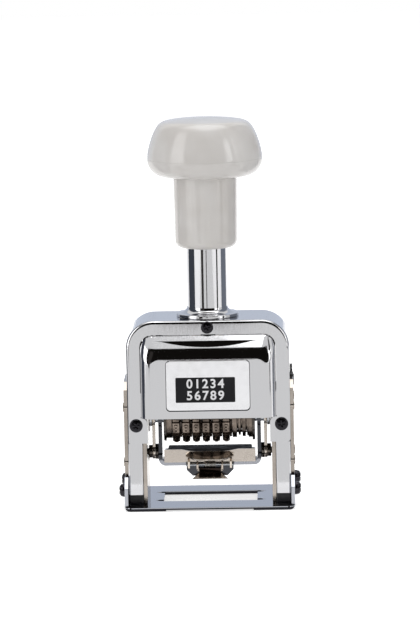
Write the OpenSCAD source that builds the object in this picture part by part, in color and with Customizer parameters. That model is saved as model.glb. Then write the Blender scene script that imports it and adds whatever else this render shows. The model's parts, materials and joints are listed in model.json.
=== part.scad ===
// Desk numbering machine, in millimetres, +Z up.
// The origin is the middle of the base plate's footprint on the table.
// +X is to the right seen from the front, +Y points to the back.

/* [Base plate] */
// Width over the two upright ears
base_w = 67.6; // [64:0.2:76]
// Depth, front to back
base_d = 48; // [44:1:60]
// Outer radius of the bends up to the ears
bend_r = 1.7; // [1.4:0.1:2.4]
// Thickness of the pressed sheet
sheet_t = 1.4; // [1:0.1:2]
// Height of the ears
ear_h = 12.6; // [11:0.2:16]
// Depth of the ears at their foot
ear_d = 42; // [38:1:44]
// Chamfer of the ears' upper corners
ear_chamfer = 4; // [2:0.5:5]
// Plan radius of the plate's corners
base_corner_r = 3; // [1:0.5:5]
// Play between the carriage and each side of the printing window
window_play = 0.5; // [0.4:0.05:0.8]
// Depth of the printing window
window_d = 21.3; // [20:0.1:24]
// Middle of the window behind the centre line
window_y = 0.85; // [0:0.05:1.5]
// How far a relief notch reaches past the window's corner
notch_reach = 3.3; // [2:0.1:4]
// Radius of the two arcs that make a pointed notch
notch_arc_r = 3.4; // [3:0.1:5]
// Width of the notch across its arcs
notch_w = 2.8; // [2:0.1:3.2]
// Length of the relief under the front edge
relief_w = 34.6; // [20:0.2:44]
// Height of the relief under the front edge
relief_h = 0.5; // [0.2:0.1:0.8]

/* [Base screws] */
// Distance of a screw from the centre line, front or back
base_screw_y = 12.3; // [11.8:0.1:12.6]
// Height of the screws
base_screw_z = 6.6; // [6.5:0.1:8]
// Head diameter
base_head_d = 5.4; // [4:0.1:6.4]
// Head height
base_head_h = 2.4; // [1:0.1:3]
// Thread diameter
base_thread_d = 2.5; // [2:0.1:3]

/* [Posts] */
// Width of a post, left to right
post_w = 6; // [5.6:0.1:7]
// Depth of a post, front to back
post_d = 5; // [4.6:0.1:5.6]
// Gap from the table to a post's foot
post_foot_z = 5; // [3:0.1:5.2]
// Height that the post's tongue reaches inside the arch
tongue_h = 20; // [14:0.5:22]
// Radius of the post's upright edges
post_edge_r = 0.9; // [0.3:0.1:1.5]

/* [Guide plates] */
// Thickness of the plate inside each pair of posts
guide_t = 1.5; // [1.2:0.1:1.6]
// Height of the plate's top
guide_top_z = 46; // [42:1:50]
// Distance of the plate's rear edge behind the centre line
guide_rear_y = 17.4; // [17:0.1:20]
// Gap between the plate and a follower link
link_gap = 1.9; // [1.6:0.1:2.2]
// Radius of the rivets
rivet_r = 1.2; // [0.8:0.1:1.5]
// Reach of the rivets inside the body
rivet_l = 4; // [3:0.1:4.6]
// Height of the lower rivets
rivet_low_z = 18; // [16:0.5:22]
// Height of the upper rivets
rivet_high_z = 40; // [38:0.5:43]

/* [Side plates] */
// Height of the plate's top
side_top_z = 50; // [49:0.5:54]
// Depth of the plate, front to back
side_d = 26; // [24.5:0.5:29]
// Chamfer of the top corners
side_chamfer = 3; // [1:0.5:5]

/* [Arch] */
// Height of the arch's lower edge
arch_foot_z = 25.8; // [25.6:0.1:28]
// Height of the arch's top
arch_top_z = 74.8; // [72:0.2:80]
// Depth of the arch, front to back
arch_d = 30; // [28:0.5:34]
// Outer radius of the arch's corners
arch_r = 11; // [8:0.5:13]
// Wall of the arch
arch_wall = 1.4; // [1.2:0.1:1.6]
// Width of the flat band at the sides
band_w = 5.4; // [5:0.1:6]
// Width of the flat band at the top
band_top_w = 5.5; // [5:0.1:6.5]
// Inner radius of the band's corners
band_r = 5; // [3:0.5:8]
// Width of a lower lobe
lobe_w = 8.1; // [7.6:0.1:8.6]
// Height of the lobes' upper end
lobe_top_z = 36; // [35:0.5:38]
// Radius of the lobes' shoulder
shoulder_r = 2.5; // [1:0.1:2.6]

/* [Face screws] */
// Head diameter of the lower screws
face_head_d = 5.3; // [4:0.1:5.6]
// Head diameter of the top screw
top_head_d = 4.9; // [4:0.1:5.2]
// Head height
face_head_h = 1.2; // [0.8:0.1:2]
// Thread diameter
face_thread_d = 2.6; // [2:0.1:3]
// Length of the thread
face_thread_l = 4.5; // [3:0.1:5]
// Distance of the lower screws from the body's side
face_screw_in = 3.5; // [3.2:0.1:3.9]
// Height of the lower screws
face_screw_z = 33; // [31:0.5:35]
// Width of the lug that the top screw holds
lug_w = 12; // [8:0.5:16]
// Thickness of the lug
lug_t = 1.2; // [1:0.1:2]
// Reach of the lug below the band
lug_drop = 2; // [1.4:0.1:3]

/* [Covers] */
// Distance of a cover's crown from the centre line
cover_y = 20; // [18:0.5:24]
// Height of a cover's lower edge
cover_foot_z = 36.3; // [36.1:0.1:39]
// Wall of the cover
cover_wall = 1; // [0.8:0.1:1.4]
// Depth of the cover's straight rim in front of the arch's inside
cover_rim = 1.2; // [1:0.1:1.4]
// Radius of the cover's side edges
cover_edge_r = 4.4; // [3:0.1:5]
// Radius of the turn from the crown to the cover's top
cover_turn_r = 8; // [6:0.1:9]
// Height at which that turn starts
turn_z = 59.6; // [58.5:0.1:60]
// Gap between the cover and the band
cover_gap = 0.25; // [0.1:0.05:0.5]
// Radius of the crescent dent at the top
dent_r = 67; // [60:1:80]
// Height of the dent's lowest point
dent_z = 64.4; // [64.2:0.1:64.8]
// Distance of that point from the centre line
dent_y = 17.45; // [17.3:0.05:17.6]
// Angle that the dent's floor leans back
dent_tilt = 20; // [18:1:24]

/* [Label] */
// Width of the blank plate on the front cover
label_w = 33; // [24:0.5:38]
// Height of the blank plate
label_h = 19.8; // [12:0.2:20]
// Thickness of the blank plate
label_t = 0.45; // [0.3:0.05:0.8]
// Height of the plate's middle
label_z = 49.6; // [49.4:0.1:51]
// Corner radius of the plate
label_r = 1.6; // [0.5:0.1:3]
// Width of the dark field
field_w = 23.6; // [10:0.2:24]
// Height of the dark field
field_h = 10; // [4:0.2:12]
// Thickness of the dark field
field_t = 0.2; // [0.1:0.05:0.4]
// Height of the field's middle
field_z = 47.9; // [47.6:0.1:50]
// Distance from the plate's middle to the field's, to the left
field_x = 1; // [0:0.1:2]

/* [Tube and collar] */
// Outer diameter of the guide tube
tube_d = 16; // [15:0.1:17]
// Wall of the guide tube
tube_wall = 1.5; // [1.2:0.1:1.6]
// Height of the tube's upper end
tube_top_z = 120; // [119:0.5:121]
// Diameter of the collar's rim
collar_d = 24.9; // [22:0.1:28]
// Height of the collar's rim
collar_rim_h = 1.4; // [1:0.1:1.8]
// Height of the whole collar
collar_h = 3.8; // [2.5:0.1:4]
// Wall of the collar's neck round the tube
collar_neck_t = 0.75; // [0.5:0.05:1]
// Width of the ring nut under the arch, across its circle
ring_nut_d = 21; // [19:0.5:24]
// Height of the ring nut
ring_nut_h = 2.5; // [2:0.1:3]
// Height of the bush inside the tube
bush_h = 6; // [4:0.5:7]

/* [Plunger] */
// Stroke of the plunger
stroke = 23.3; // [22:0.1:23.3]
// Diameter of the rod
rod_d = 6; // [5:0.1:7]
// Diameter of the rod's threaded ends
stud_d = 4; // [3:0.1:4.5]
// Height of the rod's upper shoulder above the knob's belly
rod_top_up = 6; // [5.8:0.1:7]
// Width across the corners of the rod's nuts
nut_d = 8; // [7:0.1:9]
// Height of the rod's nuts
nut_h = 2.6; // [2:0.1:2.8]
// Height of the spring seat's lower face
seat_z = 116; // [115:0.5:117]
// Thickness of the spring seat
seat_t = 1.4; // [1:0.1:2]

/* [Handle] */
// Height of the sleeve's lower edge
sleeve_foot_z = 102.4; // [102.3:0.1:104]
// Sleeve diameter at the top
sleeve_top_d = 25.3; // [24.8:0.1:27]
// Sleeve diameter at the foot
sleeve_foot_d = 24.6; // [24:0.1:26]
// Radius round the sleeve's foot
sleeve_foot_r = 3; // [1:0.1:3.2]
// Play between sleeve and tube, on the radius
sleeve_play = 0.4; // [0.3:0.05:0.6]
// Thickness of the floor that the rod carries
sleeve_floor_t = 2; // [1.5:0.1:2.5]
// Diameter of the spigot inside the knob
spigot_d = 21.8; // [20:0.1:23]
// Height of the knob's belly, where cap and base part
belly_z = 138; // [137:0.5:139]
// Height of the belly above the knob's underside
base_h = 7; // [6:0.5:8]
// Belly diameter
belly_d = 45.8; // [42:0.2:50]
// Radius of the belly's turn, seen from the side
belly_turn = 10.6; // [7:0.2:11]
// Height from the belly to the cap's shoulder
cap_h = 15.5; // [14.5:0.5:17]
// Height of the dome on the cap
dome_h = 0.7; // [0.2:0.1:1.5]
// Radius of the base's turn, seen from the side
base_turn = 7; // [4:0.5:8]
// Wall of the cap
cap_wall = 2.6; // [1.8:0.1:3]

/* [Return spring] */
// Wire diameter
coil_wire_d = 1.1; // [0.8:0.05:1.2]
// Mean diameter of the coil
coil_d = 9.6; // [9:0.1:10]
// Number of curls
coil_turns = 9; // [6:1:12]

/* [Carriage] */
// Height of the wheel axle
axle_z = 33.7; // [33.5:0.1:34.5]
// Axle diameter inside the carriage
axle_d = 6; // [4:0.1:7]
// Diameter of the axle's stepped ends
axle_end_d = 4; // [3:0.1:4.4]
// Gap between the carriage and a yoke arm
arm_gap = 0.85; // [0.7:0.05:1]
// Thickness of the carriage's plates
carriage_t = 1; // [0.8:0.1:1.2]
// Radius of a side plate round the axle
carriage_eye_r = 9.4; // [8:0.1:9.8]
// Height of the bridge's underside
bridge_z = 56; // [55.5:0.1:57]
// Thickness of the bridge
bridge_t = 1.4; // [1:0.1:2]
// Front edge of the side plates' column
column_front_y = -9; // [-11:0.5:-8.8]
// Rear edge of the side plates' column
column_rear_y = 3; // [2:0.1:3.4]
// Gap between a guide block and its guide plate
block_gap = 0.25; // [0.15:0.05:0.4]
// Height of a guide block's lower face
block_z = 44; // [43.5:0.5:46]
// Height of a guide block
block_h = 8; // [5:0.5:10]
// Diameter of the tie rods
tie_d = 2.8; // [2:0.1:3.2]
// Distance of the tie rods behind the column's front edge
tie_in = 2.4; // [2.2:0.1:3]
// Height of the upper tie rod above the wheel axle
tie_up = 18.2; // [17.5:0.1:18.6]

/* [Number wheels] */
// Number of wheels
wheel_count = 6; // [6]
// Distance from one wheel to the next
wheel_pitch = 4; // [3.8:0.05:4.1]
// Width of a wheel over its digits
wheel_w = 3; // [2.6:0.05:3]
// Radius over the digits
wheel_r = 10; // [9.6:0.1:10]
// Radius of the drum between the digits
drum_r = 8.7; // [8:0.1:9]
// Width of a digit's face, round the wheel
digit_w = 4.5; // [3.8:0.1:5]
// Width of the spacer left of the wheels
left_spacer_w = 2.2; // [1.6:0.1:2.6]
// Gap between a wheel and a spacer
wheel_gap = 0.2; // [0.15:0.05:0.3]
// Radius over the ratchet's tips
ratchet_r = 8; // [7:0.1:8.1]
// Radius of the ratchet's roots
ratchet_root_r = 6.7; // [6:0.1:6.9]
// Thickness of the ratchet
ratchet_t = 0.8; // [0.6:0.05:0.8]
// Radius of the spacers
spacer_r = 8.3; // [7:0.1:9]
// Running clearance of the wheels' bores, on the radius
bore_play = 0.05; // [0.02:0.01:0.1]

/* [Combs] */
// Width of a comb's finger
finger_w = 0.5; // [0.4:0.05:0.5]
// Height of the detent comb's rod above the wheel axle
detent_up = 12.2; // [12:0.1:12.8]
// Reach of the detent fingers below their rod
detent_reach = 5; // [4:0.1:5.2]
// Depth of a detent finger
detent_w = 2.4; // [1.6:0.1:2.8]
// Diameter of the feed comb's shaft
shaft_d = 3; // [2:0.1:3.2]
// Diameter of the feed comb's hub
hub_d = 5; // [4.5:0.1:5.2]
// Distance of the shaft in front of the centre line
shaft_y = -1; // [-1.5:0.1:-0.5]
// Height of the shaft above the wheel axle
shaft_up = 14.5; // [14.3:0.1:15]
// Reach of the feed fingers below their shaft
feed_reach = 6; // [5:0.1:6.2]
// Lean of the feed fingers to the back
feed_lean = 3.6; // [3:0.1:4.4]
// Depth of a feed finger's tip
feed_tip_w = 1; // [0.6:0.1:1.4]

/* [Pad yoke] */
// Thickness of the washer between a yoke arm and its link
washer_t = 1.25; // [1:0.05:1.4]
// Diameter of that washer
washer_d = 6.2; // [5:0.1:6.6]
// Thickness of the yoke's strip
yoke_t = 1.5; // [1:0.1:1.5]
// Height of the yoke's underside
yoke_foot_z = 14.9; // [14.5:0.1:15.5]
// Depth of the yoke's lower strip
yoke_d = 10; // [8:0.5:11]
// Width of the yoke's arms, seen from the side
arm_w = 5.4; // [4.4:0.1:6]
// Outer radius of the yoke's corners
yoke_r = 2.9; // [2:0.1:3]
// Angle that the yoke swings over the whole stroke
yoke_swing = 130; // [128:1:132]
// Half width of the lower front tab
tab_w = 18.8; // [14:0.2:22]
// Height of the tab's lower edge
tab_z = 11; // [10.8:0.1:12]
// Chamfer of the tab's lower corners
tab_chamfer = 2.4; // [1:0.1:4]
// Distance of the rollers from the wheel axle
roller_arm = 13.7; // [13.4:0.1:13.8]
// Diameter of the roller pins
roller_d = 2.5; // [2:0.1:2.8]
// Play between a roller pin and its cam slot, on the radius
slot_play = 0.2; // [0.1:0.05:0.3]
// Diameter of the collar between a link and its guide plate
roller_collar_d = 5.2; // [4:0.1:5.4]
// Thickness of a follower link
link_t = 1.2; // [1:0.1:1.3]

/* [Pad tray] */
// Gap between the tray and a yoke arm
tray_side_gap = 0.85; // [0.7:0.05:1.2]
// Depth of the tray behind its front plate
tray_d = 13; // [12:0.1:13.4]
// Height of the tray's underside
tray_foot_z = 16.6; // [16.55:0.05:17]
// Height of the tray's walls
tray_h = 3.4; // [2:0.1:3.8]
// Height of the tray's front plate
tray_front_h = 5.2; // [4.6:0.1:5.4]
// Sheet of the tray
tray_t = 0.6; // [0.4:0.05:0.8]
// Distance of the pad inside the tray's sides
pad_side_gap = 1.4; // [1:0.1:2]
// Depth of the ink pad
pad_d = 11.4; // [10:0.1:11.6]
// Height of the ink pad's top
pad_top_z = 21.5; // [20.5:0.1:21.9]
// Width of the tongue on the front plate
tongue_w = 19.2; // [14:0.2:22]
// Reach of the tongue
tongue_l = 5.8; // [4:0.1:6.4]
// Angle that the tongue slopes down
tongue_tilt = 24; // [10:1:30]

/* [Latch] */
// Height of the latch pin
pin_z = 15.9; // [15.7:0.1:16]
// Distance of the latch pin in front of the centre line
pin_y = 8.6; // [8.5:0.1:8.8]
// Diameter of the latch pin
pin_d = 1.2; // [0.8:0.1:1.3]
// Length of the latch pin
pin_l = 19.2; // [18.4:0.1:21]
// Distance of the brackets that hold the pin from the middle
bracket_x = 8.4; // [7:0.1:8.8]
// Thickness of these brackets
bracket_t = 0.8; // [0.6:0.1:1]
// Width between the latch lever's ears
lever_gap = 9.2; // [8:0.1:11]
// Sheet of the lever
lever_t = 0.7; // [0.5:0.05:0.8]
// Radius of the lever's ears round the pin
lever_ear = 1.1; // [1:0.05:1.15]
// Distance from the pin down to the lever's plate
lever_drop = 1.7; // [1.5:0.1:2]
// Width of the lever's neck
neck_w = 8; // [6:0.1:9]
// Width of the lever's lip
lip_w = 14.4; // [10:0.1:15]
// Height of the lip's lower edge
lip_z = 10.3; // [10.2:0.1:11]
// Height of the flared part of the lip
lip_h = 2.4; // [2:0.1:2.6]
// Forward flare of the lip
lip_flare = 2.2; // [1:0.1:2.3]
// Wire diameter of the latch spring
latch_wire_d = 0.45; // [0.35:0.05:0.5]
// Mean diameter of the latch spring
latch_coil_d = 2.1; // [2:0.1:2.3]
// Pitch of the latch spring
latch_pitch = 0.95; // [0.95:0.05:1.2]
// Curls of the latch spring
latch_turns = 4; // [3:1:5]

/* [Selector] */
// Diameter of the dial
dial_d = 12.6; // [11:0.1:13]
// Thickness of the dial
dial_t = 1; // [0.8:0.05:1.2]
// Distance of the dial behind the centre line
dial_y = 3; // [2:0.1:4]
// Height of the dial's axis
dial_z = 48; // [47:0.1:49]
// Number of scallops round the dial
dial_scallops = 14; // [10:1:18]
// Radius of a scallop
scallop_r = 0.95; // [0.7:0.05:1.1]
// Radius of the dial's pivot
dial_pivot_r = 1.5; // [1:0.1:2]

/* [Hidden] */
$fn = 48;
eps = 0.01;
body_x = base_w / 2 - sheet_t;
post_in_x = body_x - post_w;
guide_in_x = post_in_x - guide_t;
link_out_x = guide_in_x - link_gap;
link_in_x = link_out_x - link_t;
yoke_w = 2 * (link_in_x - washer_t);
arm_in_x = yoke_w / 2 - yoke_t;
carriage_x = arm_in_x - arm_gap;
carriage_in_x = carriage_x - carriage_t;
window_w = 2 * (carriage_x + window_play);
post_front_y = arch_d / 2 - 0.1;
seat_y = arch_d / 2 - arch_wall;
band_x = body_x - band_w;
lobe_gap = 2 * (body_x - lobe_w);
face_screw_x = body_x - face_screw_in;
top_screw_z = arch_top_z - band_top_w / 2;
lug_foot_z = arch_top_z - band_top_w - lug_drop;
lug_rear_y = lug_t - seat_y;
rivet_y = base_screw_y - 0.4;
rivet_heights = [rivet_low_z, rivet_high_z];
tube_r = tube_d / 2;
tube_in_r = tube_r - tube_wall;
tube_foot_z = arch_top_z - arch_wall - ring_nut_h;
bush_top_z = tube_foot_z + bush_h;
shaft_z = axle_z + shaft_up;
knob_foot_z = belly_z - base_h;
rod_top_z = belly_z + rod_top_up;
floor_top_z = rod_top_z + sleeve_floor_t;
// Places of the two tie rods: distance behind the centre line, height
tie_places = [[column_front_y + tie_in, axle_z + tie_up], [column_front_y + tie_in, axle_z + detent_up]];
// Middle of the first wheel, and the right-hand face of the last one's ratchet
first_wheel_x = left_spacer_w + wheel_gap + wheel_w / 2 - carriage_in_x;
wheels_end_x = first_wheel_x + (wheel_count - 1) * wheel_pitch + wheel_w / 2 + ratchet_t;
spacer_room = carriage_in_x - wheels_end_x - wheel_gap;
// Share of the room right of the wheels where each disc starts and ends, and its share of the radius
spacer_discs = [[0, 0.22, 1], [0.22, 0.3, 0.62], [0.3, 0.41, 0.9], [0.41, 0.5, 0.62], [0.5, 0.66, 0.97],
  [0.66, 0.73, 0.7], [0.73, 0.8, 0.93], [0.8, 1, 1]];
comb_right_x = wheels_end_x + 1;
tray_w = 2 * (arm_in_x - tray_side_gap);
pad_w = tray_w - 2 * pad_side_gap;
tray_front_y = tray_d / 2 + 0.1;
// Foot of a digit's pad inside the drum
pad_root_r = drum_r - 1.2;
// Recess of the right-hand side plate round the dial
recess_r = dial_d / 2 + 0.4;
// Eyes of the yoke's arms and links round the axle and the roller pins
arm_eye_r = axle_end_d / 2 + 2.2;
link_eye_r = axle_end_d / 2 + 1.4;
link_foot_r = roller_d / 2 + 1.75;
link_w = 2 * link_foot_r - 1.6;
// Dip in the rim of the tray's front plate, and the corner steps of the lever's shoulders
rim_dip = 0.8;
shoulder_low = 1.4;
shoulder_high = 0.8;
// Cam slots: steps along the whole path, and along its inner side
slot_r = roller_d / 2 + slot_play;
slot_steps = 20;
slot_inner_steps = 5;
// Springs: rings in a curl, sides of a ring
coil_rings = 8;
coil_sides = 6;
coil_length = seat_z - bush_top_z - coil_wire_d - 0.2;
coil_pitch = coil_length / coil_turns;

// ---- shared shapes ----

// A block between two corners
module block(low, high) {
  translate(low) cube(high - low);
}

// A YZ outline made solid from x0 to x1
module along_x(x0, x1) {
  translate([x0, 0, 0]) rotate([90, 0, 90]) linear_extrude(x1 - x0) children();
}

// An XZ outline made solid from y0 to y1
module along_y(y0, y1) {
  translate([0, y1, 0]) rotate([90, 0, 0]) linear_extrude(y1 - y0) children();
}

// A round bar along X, from x0 to x1
module bar_x(x0, x1, r, y, z) {
  translate([x0, y, z]) rotate([0, 90, 0]) cylinder(h = x1 - x0, r = r);
}

// A round bar along Y, from y0 to y1
module bar_y(y0, y1, r, x, z) {
  translate([x, y0, z]) rotate([-90, 0, 0]) cylinder(h = y1 - y0, r = r);
}

// The same thing on the left and on the right
module both_sides() {
  children();
  mirror([1, 0, 0]) children();
}

// A flat rectangle with round corners, about the origin
module round_rect(w, h, r) {
  square([w - 2 * r, h], center = true);
  square([w, h - 2 * r], center = true);
  for (x = [-1, 1], y = [-1, 1]) translate([x * (w / 2 - r), y * (h / 2 - r)]) circle(r = r);
}

// An upright outline with two round upper corners, from z0 to z1
module arch_shape(w, z0, z1, r) {
  translate([-w / 2, z0]) square([w, z1 - r - z0]);
  translate([-w / 2 + r, z0]) square([w - 2 * r, z1 - z0]);
  for (x = [-1, 1]) translate([x * (w / 2 - r), z1 - r]) circle(r = r);
}

// A pan head with a cross recess, standing on z = 0
module pan_head(d, h) {
  edge = h * 0.35;
  slot = d * 0.16;
  difference() {
    rotate_extrude() polygon([[0, 0], [d / 2, 0], [d / 2, h - 2 * edge], [d / 2 - edge * 0.4, h - edge * 0.7],
      [d / 2 - edge * 1.4, h], [0, h]]);
    translate([0, 0, h]) cube([d * 0.62, slot, h], center = true);
    translate([0, 0, h]) cube([slot, d * 0.62, h], center = true);
  }
}

// ---- base plate ----

// The sheet seen from the front: round where it bends up to the ears
module bend_outline() {
  w = base_w - 2 * bend_r;
  translate([-base_w / 2, bend_r]) square([base_w, ear_h]);
  translate([-w / 2, -eps]) square([w, ear_h]);
  for (x = [-1, 1]) translate([x * w / 2, bend_r]) circle(r = bend_r);
}

module notch(x, y) {
  reach = notch_arc_r - notch_w / 2;
  translate([x, y]) intersection() {
    translate([0, reach]) circle(r = notch_arc_r);
    translate([0, -reach]) circle(r = notch_arc_r);
  }
}

module base_outline() {
  round_rect(base_w, base_d, base_corner_r);
}

module window_outline() {
  translate([0, window_y]) square([window_w, window_d], center = true);
  half_notch = sqrt(pow(notch_arc_r, 2) - pow(notch_arc_r - notch_w / 2, 2));
  for (x = [-1, 1], y = [-1, 1])
    notch(x * (window_w / 2 + notch_reach - half_notch), window_y + y * (window_d / 2 - notch_w / 2 - 0.6));
}

module ear_outline() {
  half = ear_d / 2;
  cut = ear_chamfer;
  polygon([[-half, 0], [half, 0], [half, ear_h - cut], [half - cut, ear_h], [cut - half, ear_h],
    [-half, ear_h - cut]]);
}

module base_plate() {
  color("#B4B9C8") difference() {
    intersection() {
      union() {
        linear_extrude(sheet_t) base_outline();
        both_sides() along_x(body_x, base_w / 2) ear_outline();
      }
      along_y(-base_d, base_d) bend_outline();
    }
    translate([0, 0, -eps]) linear_extrude(sheet_t + 2 * eps) window_outline();
    block([-relief_w / 2, -base_d / 2 - eps, -eps], [relief_w / 2, window_y - window_d / 2 - 2, relief_h]);
    for (x = [-1, 1], y = [-1, 1])
      translate([x * base_w / 2, y * base_screw_y, base_screw_z]) rotate([0, 90, 0])
        cylinder(h = 4 * sheet_t, r = base_thread_d / 2, center = true);
  }
}

module base_screw_pair() {
  for (y = [-1, 1]) translate([base_w / 2, y * base_screw_y, base_screw_z]) rotate([0, 90, 0]) {
    pan_head(base_head_d, base_head_h);
    translate([0, 0, -sheet_t - post_w * 0.6]) cylinder(h = sheet_t + post_w * 0.6, r = base_thread_d / 2);
  }
}

module base_screws_left() {
  color("#1C1C1E") mirror([1, 0, 0]) base_screw_pair();
}

module base_screws_right() {
  color("#1C1C1E") base_screw_pair();
}

// ---- posts, buffers and side plates ----

module foot_buffers() {
  color("#17171A") both_sides() for (y = [-1, 1])
    translate([post_in_x + post_w / 2, y * (post_front_y - post_d / 2), sheet_t])
      linear_extrude(post_foot_z - sheet_t) round_rect(post_w - 0.2, post_d + 0.6, 0.6);
}

// The right front post
module post() {
  mid = [post_in_x + post_w / 2, post_d / 2 - post_front_y];
  difference() {
    union() {
      translate([mid.x, mid.y, post_foot_z])
        linear_extrude(arch_foot_z - post_foot_z) round_rect(post_w, post_d, post_edge_r);
      block([post_in_x, -seat_y, arch_foot_z - eps],
        [body_x - arch_wall, post_d - post_front_y, arch_foot_z + tongue_h]);
    }
    bar_x(body_x - post_w * 0.6, body_x + 1, base_thread_d / 2, -base_screw_y, base_screw_z);
    bar_y(-arch_d / 2, face_thread_l - seat_y - arch_wall, face_thread_d / 2, face_screw_x, face_screw_z);
    for (z = rivet_heights) bar_x(body_x - rivet_l, body_x + 1, rivet_r, -rivet_y, z);
  }
}

module front_post_right() {
  color("#C8CACD") post();
}

module front_post_left() {
  color("#C8CACD") mirror([1, 0, 0]) post();
}

module rear_post_right() {
  color("#C8CACD") mirror([0, 1, 0]) post();
}

module rear_post_left() {
  color("#C8CACD") rotate([0, 0, 180]) post();
}

// Path of a roller pin while the plunger goes down: p runs from 0 to 1
function roller_at(p) = [roller_arm * sin(p * yoke_swing),
  axle_z - p * stroke - roller_arm * cos(p * yoke_swing)];
function roller_way(p) = let (d = roller_at(p + 0.002) - roller_at(p - 0.002)) d / norm(d);
function turned(v, a) = [v.x * cos(a) - v.y * sin(a), v.x * sin(a) + v.y * cos(a)];
// Point of the slot's wall: at angle a from the way that the pin goes
function beside_path(p, a) = roller_at(p) + slot_r * turned(roller_way(p), a);
slot_points = concat(
  [for (a = [180 : -30 : 120]) beside_path(0, a)],
  [for (i = [0 : slot_inner_steps]) beside_path(i / slot_steps, 90)],
  [for (a = [90 : -30 : -60]) beside_path(1, a)],
  [for (i = [slot_steps : -1 : 0]) beside_path(i / slot_steps, -90)],
  [for (a = [-120 : -30 : -150]) beside_path(0, a)]);

module guide_outline() {
  translate([-seat_y + 0.1, sheet_t]) square([seat_y - 0.1 + guide_rear_y, arch_foot_z - 0.4 - sheet_t]);
  translate([-seat_y + 0.1, sheet_t]) square([2 * (seat_y - 0.1), guide_top_z - sheet_t]);
}

module guide_plate() {
  along_x(guide_in_x, post_in_x) difference() {
    guide_outline();
    polygon(slot_points);
  }
}

module guide_plate_right() {
  color("#C9C2B4") guide_plate();
}

module guide_plate_left() {
  color("#C9C2B4") mirror([1, 0, 0]) guide_plate();
}

module side_outline() {
  low = ear_h + 0.2;
  h = side_d / 2;
  polygon([[-h, low], [h, low], [h, side_top_z - side_chamfer], [h - side_chamfer, side_top_z],
    [side_chamfer - h, side_top_z], [-h, side_top_z - side_chamfer]]);
}

module side_plate() {
  along_x(body_x, base_w / 2) difference() {
    side_outline();
    for (y = [-1, 1], z = rivet_heights) translate([y * rivet_y, z]) circle(r = rivet_r);
  }
}

module side_plate_left() {
  color("#CFC9BC") mirror([1, 0, 0]) side_plate();
}

module side_plate_right() {
  color("#CFC9BC") difference() {
    side_plate();
    bar_x(body_x - 1, base_w / 2 + 1, recess_r, dial_y, dial_z);
    block([body_x - 1, dial_y - recess_r, dial_z], [base_w / 2 + 1, dial_y + recess_r, side_top_z + 1]);
  }
}

module side_rivets() {
  color("#CFC9BC") both_sides() for (y = [-1, 1], z = rivet_heights) {
    bar_x(base_w / 2, base_w / 2 + 0.35, rivet_r * 1.5, y * rivet_y, z);
    bar_x(body_x - rivet_l, base_w / 2, rivet_r, y * rivet_y, z);
  }
}

// ---- arch ----

// The opening that the covers fill, and the gap between the lobes below it
module arch_opening(inset = 0) {
  arch_shape(2 * (band_x - inset), lobe_top_z + inset, arch_top_z - band_top_w - inset, band_r - inset);
  if (inset == 0) {
    translate([-lobe_gap / 2, arch_foot_z - 1]) square([lobe_gap, lobe_top_z - arch_foot_z + 2]);
    for (x = [-1, 1]) difference() {
      translate([x > 0 ? lobe_gap / 2 - eps : -lobe_gap / 2 - shoulder_r + eps, lobe_top_z - shoulder_r])
        square([shoulder_r, shoulder_r + eps]);
      translate([x * (lobe_gap / 2 + shoulder_r), lobe_top_z - shoulder_r]) circle(r = shoulder_r);
    }
  }
}

module arch_frame() {
  color("#C6C9CE") difference() {
    along_y(-arch_d / 2, arch_d / 2) arch_shape(2 * body_x, arch_foot_z, arch_top_z, arch_r);
    along_y(-seat_y, seat_y)
      arch_shape(2 * (body_x - arch_wall), arch_foot_z - 1, arch_top_z - arch_wall, arch_r - arch_wall);
    along_y(-arch_d, arch_d) arch_opening();
    translate([0, 0, arch_top_z - 2 * arch_wall]) cylinder(h = 3 * arch_wall, r = tube_r);
    bar_y(-arch_d, arch_d, face_thread_d / 2, 0, top_screw_z);
    both_sides() bar_y(-arch_d, arch_d, face_thread_d / 2, face_screw_x, face_screw_z);
    both_sides() for (y = [-1, 1])
      bar_x(body_x - 2 * arch_wall, body_x + 1, rivet_r, y * rivet_y, rivet_heights[1]);
    bar_x(body_x - 2 * arch_wall, body_x + 1, dial_pivot_r + bore_play, dial_y, dial_z);
  }
}

module face_screw(x, z, d) {
  translate([x, -arch_d / 2, z]) rotate([90, 0, 0]) {
    pan_head(d, face_head_h);
    translate([0, 0, -face_thread_l]) cylinder(h = face_thread_l, r = face_thread_d / 2);
  }
}

module face_screw_set() {
  both_sides() face_screw(face_screw_x, face_screw_z, face_head_d);
  face_screw(0, top_screw_z, top_head_d);
}

module face_screws() {
  color("#1C1C1E") face_screw_set();
}

module rear_screws() {
  color("#1C1C1E") mirror([0, 1, 0]) face_screw_set();
}

// ---- covers ----

// A pillow: the outline at the back and a crown with round edges
module pillow(inset) {
  w = band_x - cover_gap - inset;
  top = arch_top_z - band_top_w - cover_gap - inset;
  r = cover_edge_r;
  crown = cover_y - inset;
  hull() {
    along_y(-seat_y - cover_rim, -seat_y + inset) arch_shape(2 * w, cover_foot_z, top, band_r, $fn = 32);
    for (x = [-1, 1]) translate([x * (w - r), r - crown, cover_foot_z])
      cylinder(h = turn_z - cover_foot_z, r = r, $fn = 32);
    bar_x(r - w, w - r, cover_turn_r - inset, cover_turn_r - cover_y, turn_z, $fn = 64);
  }
}

module cover_shell() {
  difference() {
    pillow(0);
    pillow(cover_wall);
    translate([0, 0, -cover_wall]) pillow(cover_wall);
    block([-band_x, -seat_y, 0], [band_x, 0, arch_top_z]);
  }
}

// The drum whose foot presses the crescent dent; the sheet round it is grow larger
module dent_drum(grow) {
  translate([0, -dent_y, dent_z]) rotate([90 - dent_tilt, 0, 0]) translate([0, dent_r, -grow])
    cylinder(h = arch_d, r = dent_r + grow, $fn = 180);
}

module dented_shell() {
  difference() {
    union() {
      cover_shell();
      intersection() {
        pillow(0);
        dent_drum(cover_wall);
      }
    }
    dent_drum(0);
  }
}

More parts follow.
